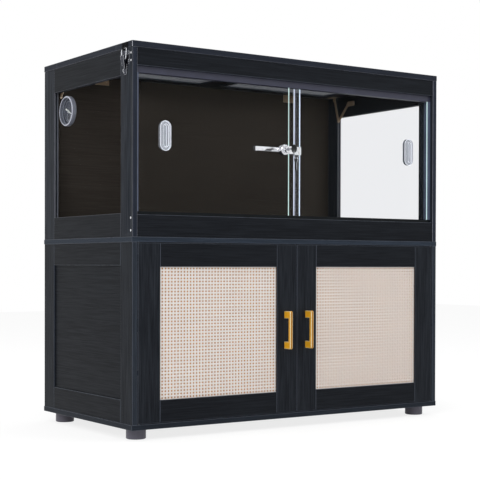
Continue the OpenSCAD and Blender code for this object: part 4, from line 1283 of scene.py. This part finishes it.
@dataclass
class Studio:
    """Camera at the photograph's place, a pale floor and soft lamps; angles in degrees."""

    lens: float = 91.99
    sensor: float = 36.0
    clip: tuple[float, float] = (0.05, 100.0)
    shift_y: float = 0.0799
    place: Point = (-2.3486, -3.4246, 0.5205)
    yaw: float = 34.076
    pitch: float = -0.647
    roll: float = 0.136
    sky: float = 0.55
    floor_half: float = 9.0
    floor_light: float = 1.15
    floor_share: float = 0.7
    lamps: tuple[Lamp, ...] = (
        Lamp("key", (-4.0, -3.0, 3.2), (-0.1, 0.0, 0.7), 2.6, 78.0),
        Lamp("fill", (2.4, -3.2, 4.0), (0.1, 0.0, 0.6), 2.2, 40.0),
        Lamp("top", (0.0, 0.4, 4.2), (0.0, 0.0, 0.6), 2.8, 45.0),
    )

    def build(self) -> None:
        """Makes the camera, the world, the floor and the lamps."""
        self._camera()
        self._world()
        self._floor()
        for lamp in self.lamps:
            lamp.hang()
        bpy.context.scene.view_settings.view_transform = "Standard"

    def _camera(self) -> None:
        """A camera turned by yaw about +Z, then pitch, then roll."""
        data = bpy.data.cameras.new("camera")
        data.lens = self.lens
        data.sensor_width = self.sensor
        data.shift_y = self.shift_y
        data.clip_start, data.clip_end = self.clip
        made = bpy.data.objects.new("camera", data)
        turn = (Matrix.Rotation(math.radians(-self.yaw), 4, "Z")
                @ Matrix.Rotation(math.radians(90 + self.pitch), 4, "X")
                @ Matrix.Rotation(math.radians(self.roll), 4, "Z"))
        made.matrix_world = Matrix.Translation(self.place) @ turn
        bpy.context.scene.collection.objects.link(made)
        bpy.context.scene.camera = made

    def _world(self) -> None:
        """White where it is seen, softer where it lights."""
        world = bpy.data.worlds.new("studio")
        world.use_nodes = True
        bpy.context.scene.world = world
        graph = Graph(world.node_tree)
        level = graph.remap(graph.seen(), 0.0, 1.0, self.sky, 1.0)
        back = graph.node("Background", {"Color": (1.0, 1.0, 1.0), "Strength": level})
        graph.node("OutputWorld", {"Surface": back.outputs[0]})

    def _floor(self) -> None:
        """A wide floor, white where it is seen, that keeps the shadow."""
        square = np.array([[-1.0, -1.0, 0.0], [1.0, -1.0, 0.0], [1.0, 1.0, 0.0], [-1.0, 1.0, 0.0]])
        floor = new_piece("floor", square * self.floor_half, np.array([[0, 1, 2, 3]]))
        material = bpy.data.materials.new("floor_white")
        material.use_nodes = True
        graph = Graph(material.node_tree)
        lit = graph.node("BsdfDiffuse", {"Color": (0.9, 0.9, 0.9)})
        white = graph.node("Emission", {"Color": (1.0, 1.0, 1.0), "Strength": self.floor_light})
        share = graph.math("MULTIPLY", graph.seen(), self.floor_share)
        mix = graph.node("MixShader", {0: share, 1: lit.outputs[0], 2: white.outputs[0]})
        graph.node("OutputMaterial", {"Surface": mix.outputs[0]})
        floor.data.materials.append(material)


def main() -> None:
    """Builds the cabinet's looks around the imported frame."""
    logging.basicConfig(level=logging.INFO, format="%(name)s: %(message)s")
    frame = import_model()
    shop = Shop(frame)
    Boards(shop).build()
    Hardware(shop).build()
    CanePanel(shop, "left").build()
    CanePanel(shop, "right").build()
    WireNet(shop).build()
    Gauge(shop).build()
    Studio().build()


if __name__ == "__main__":
    main()
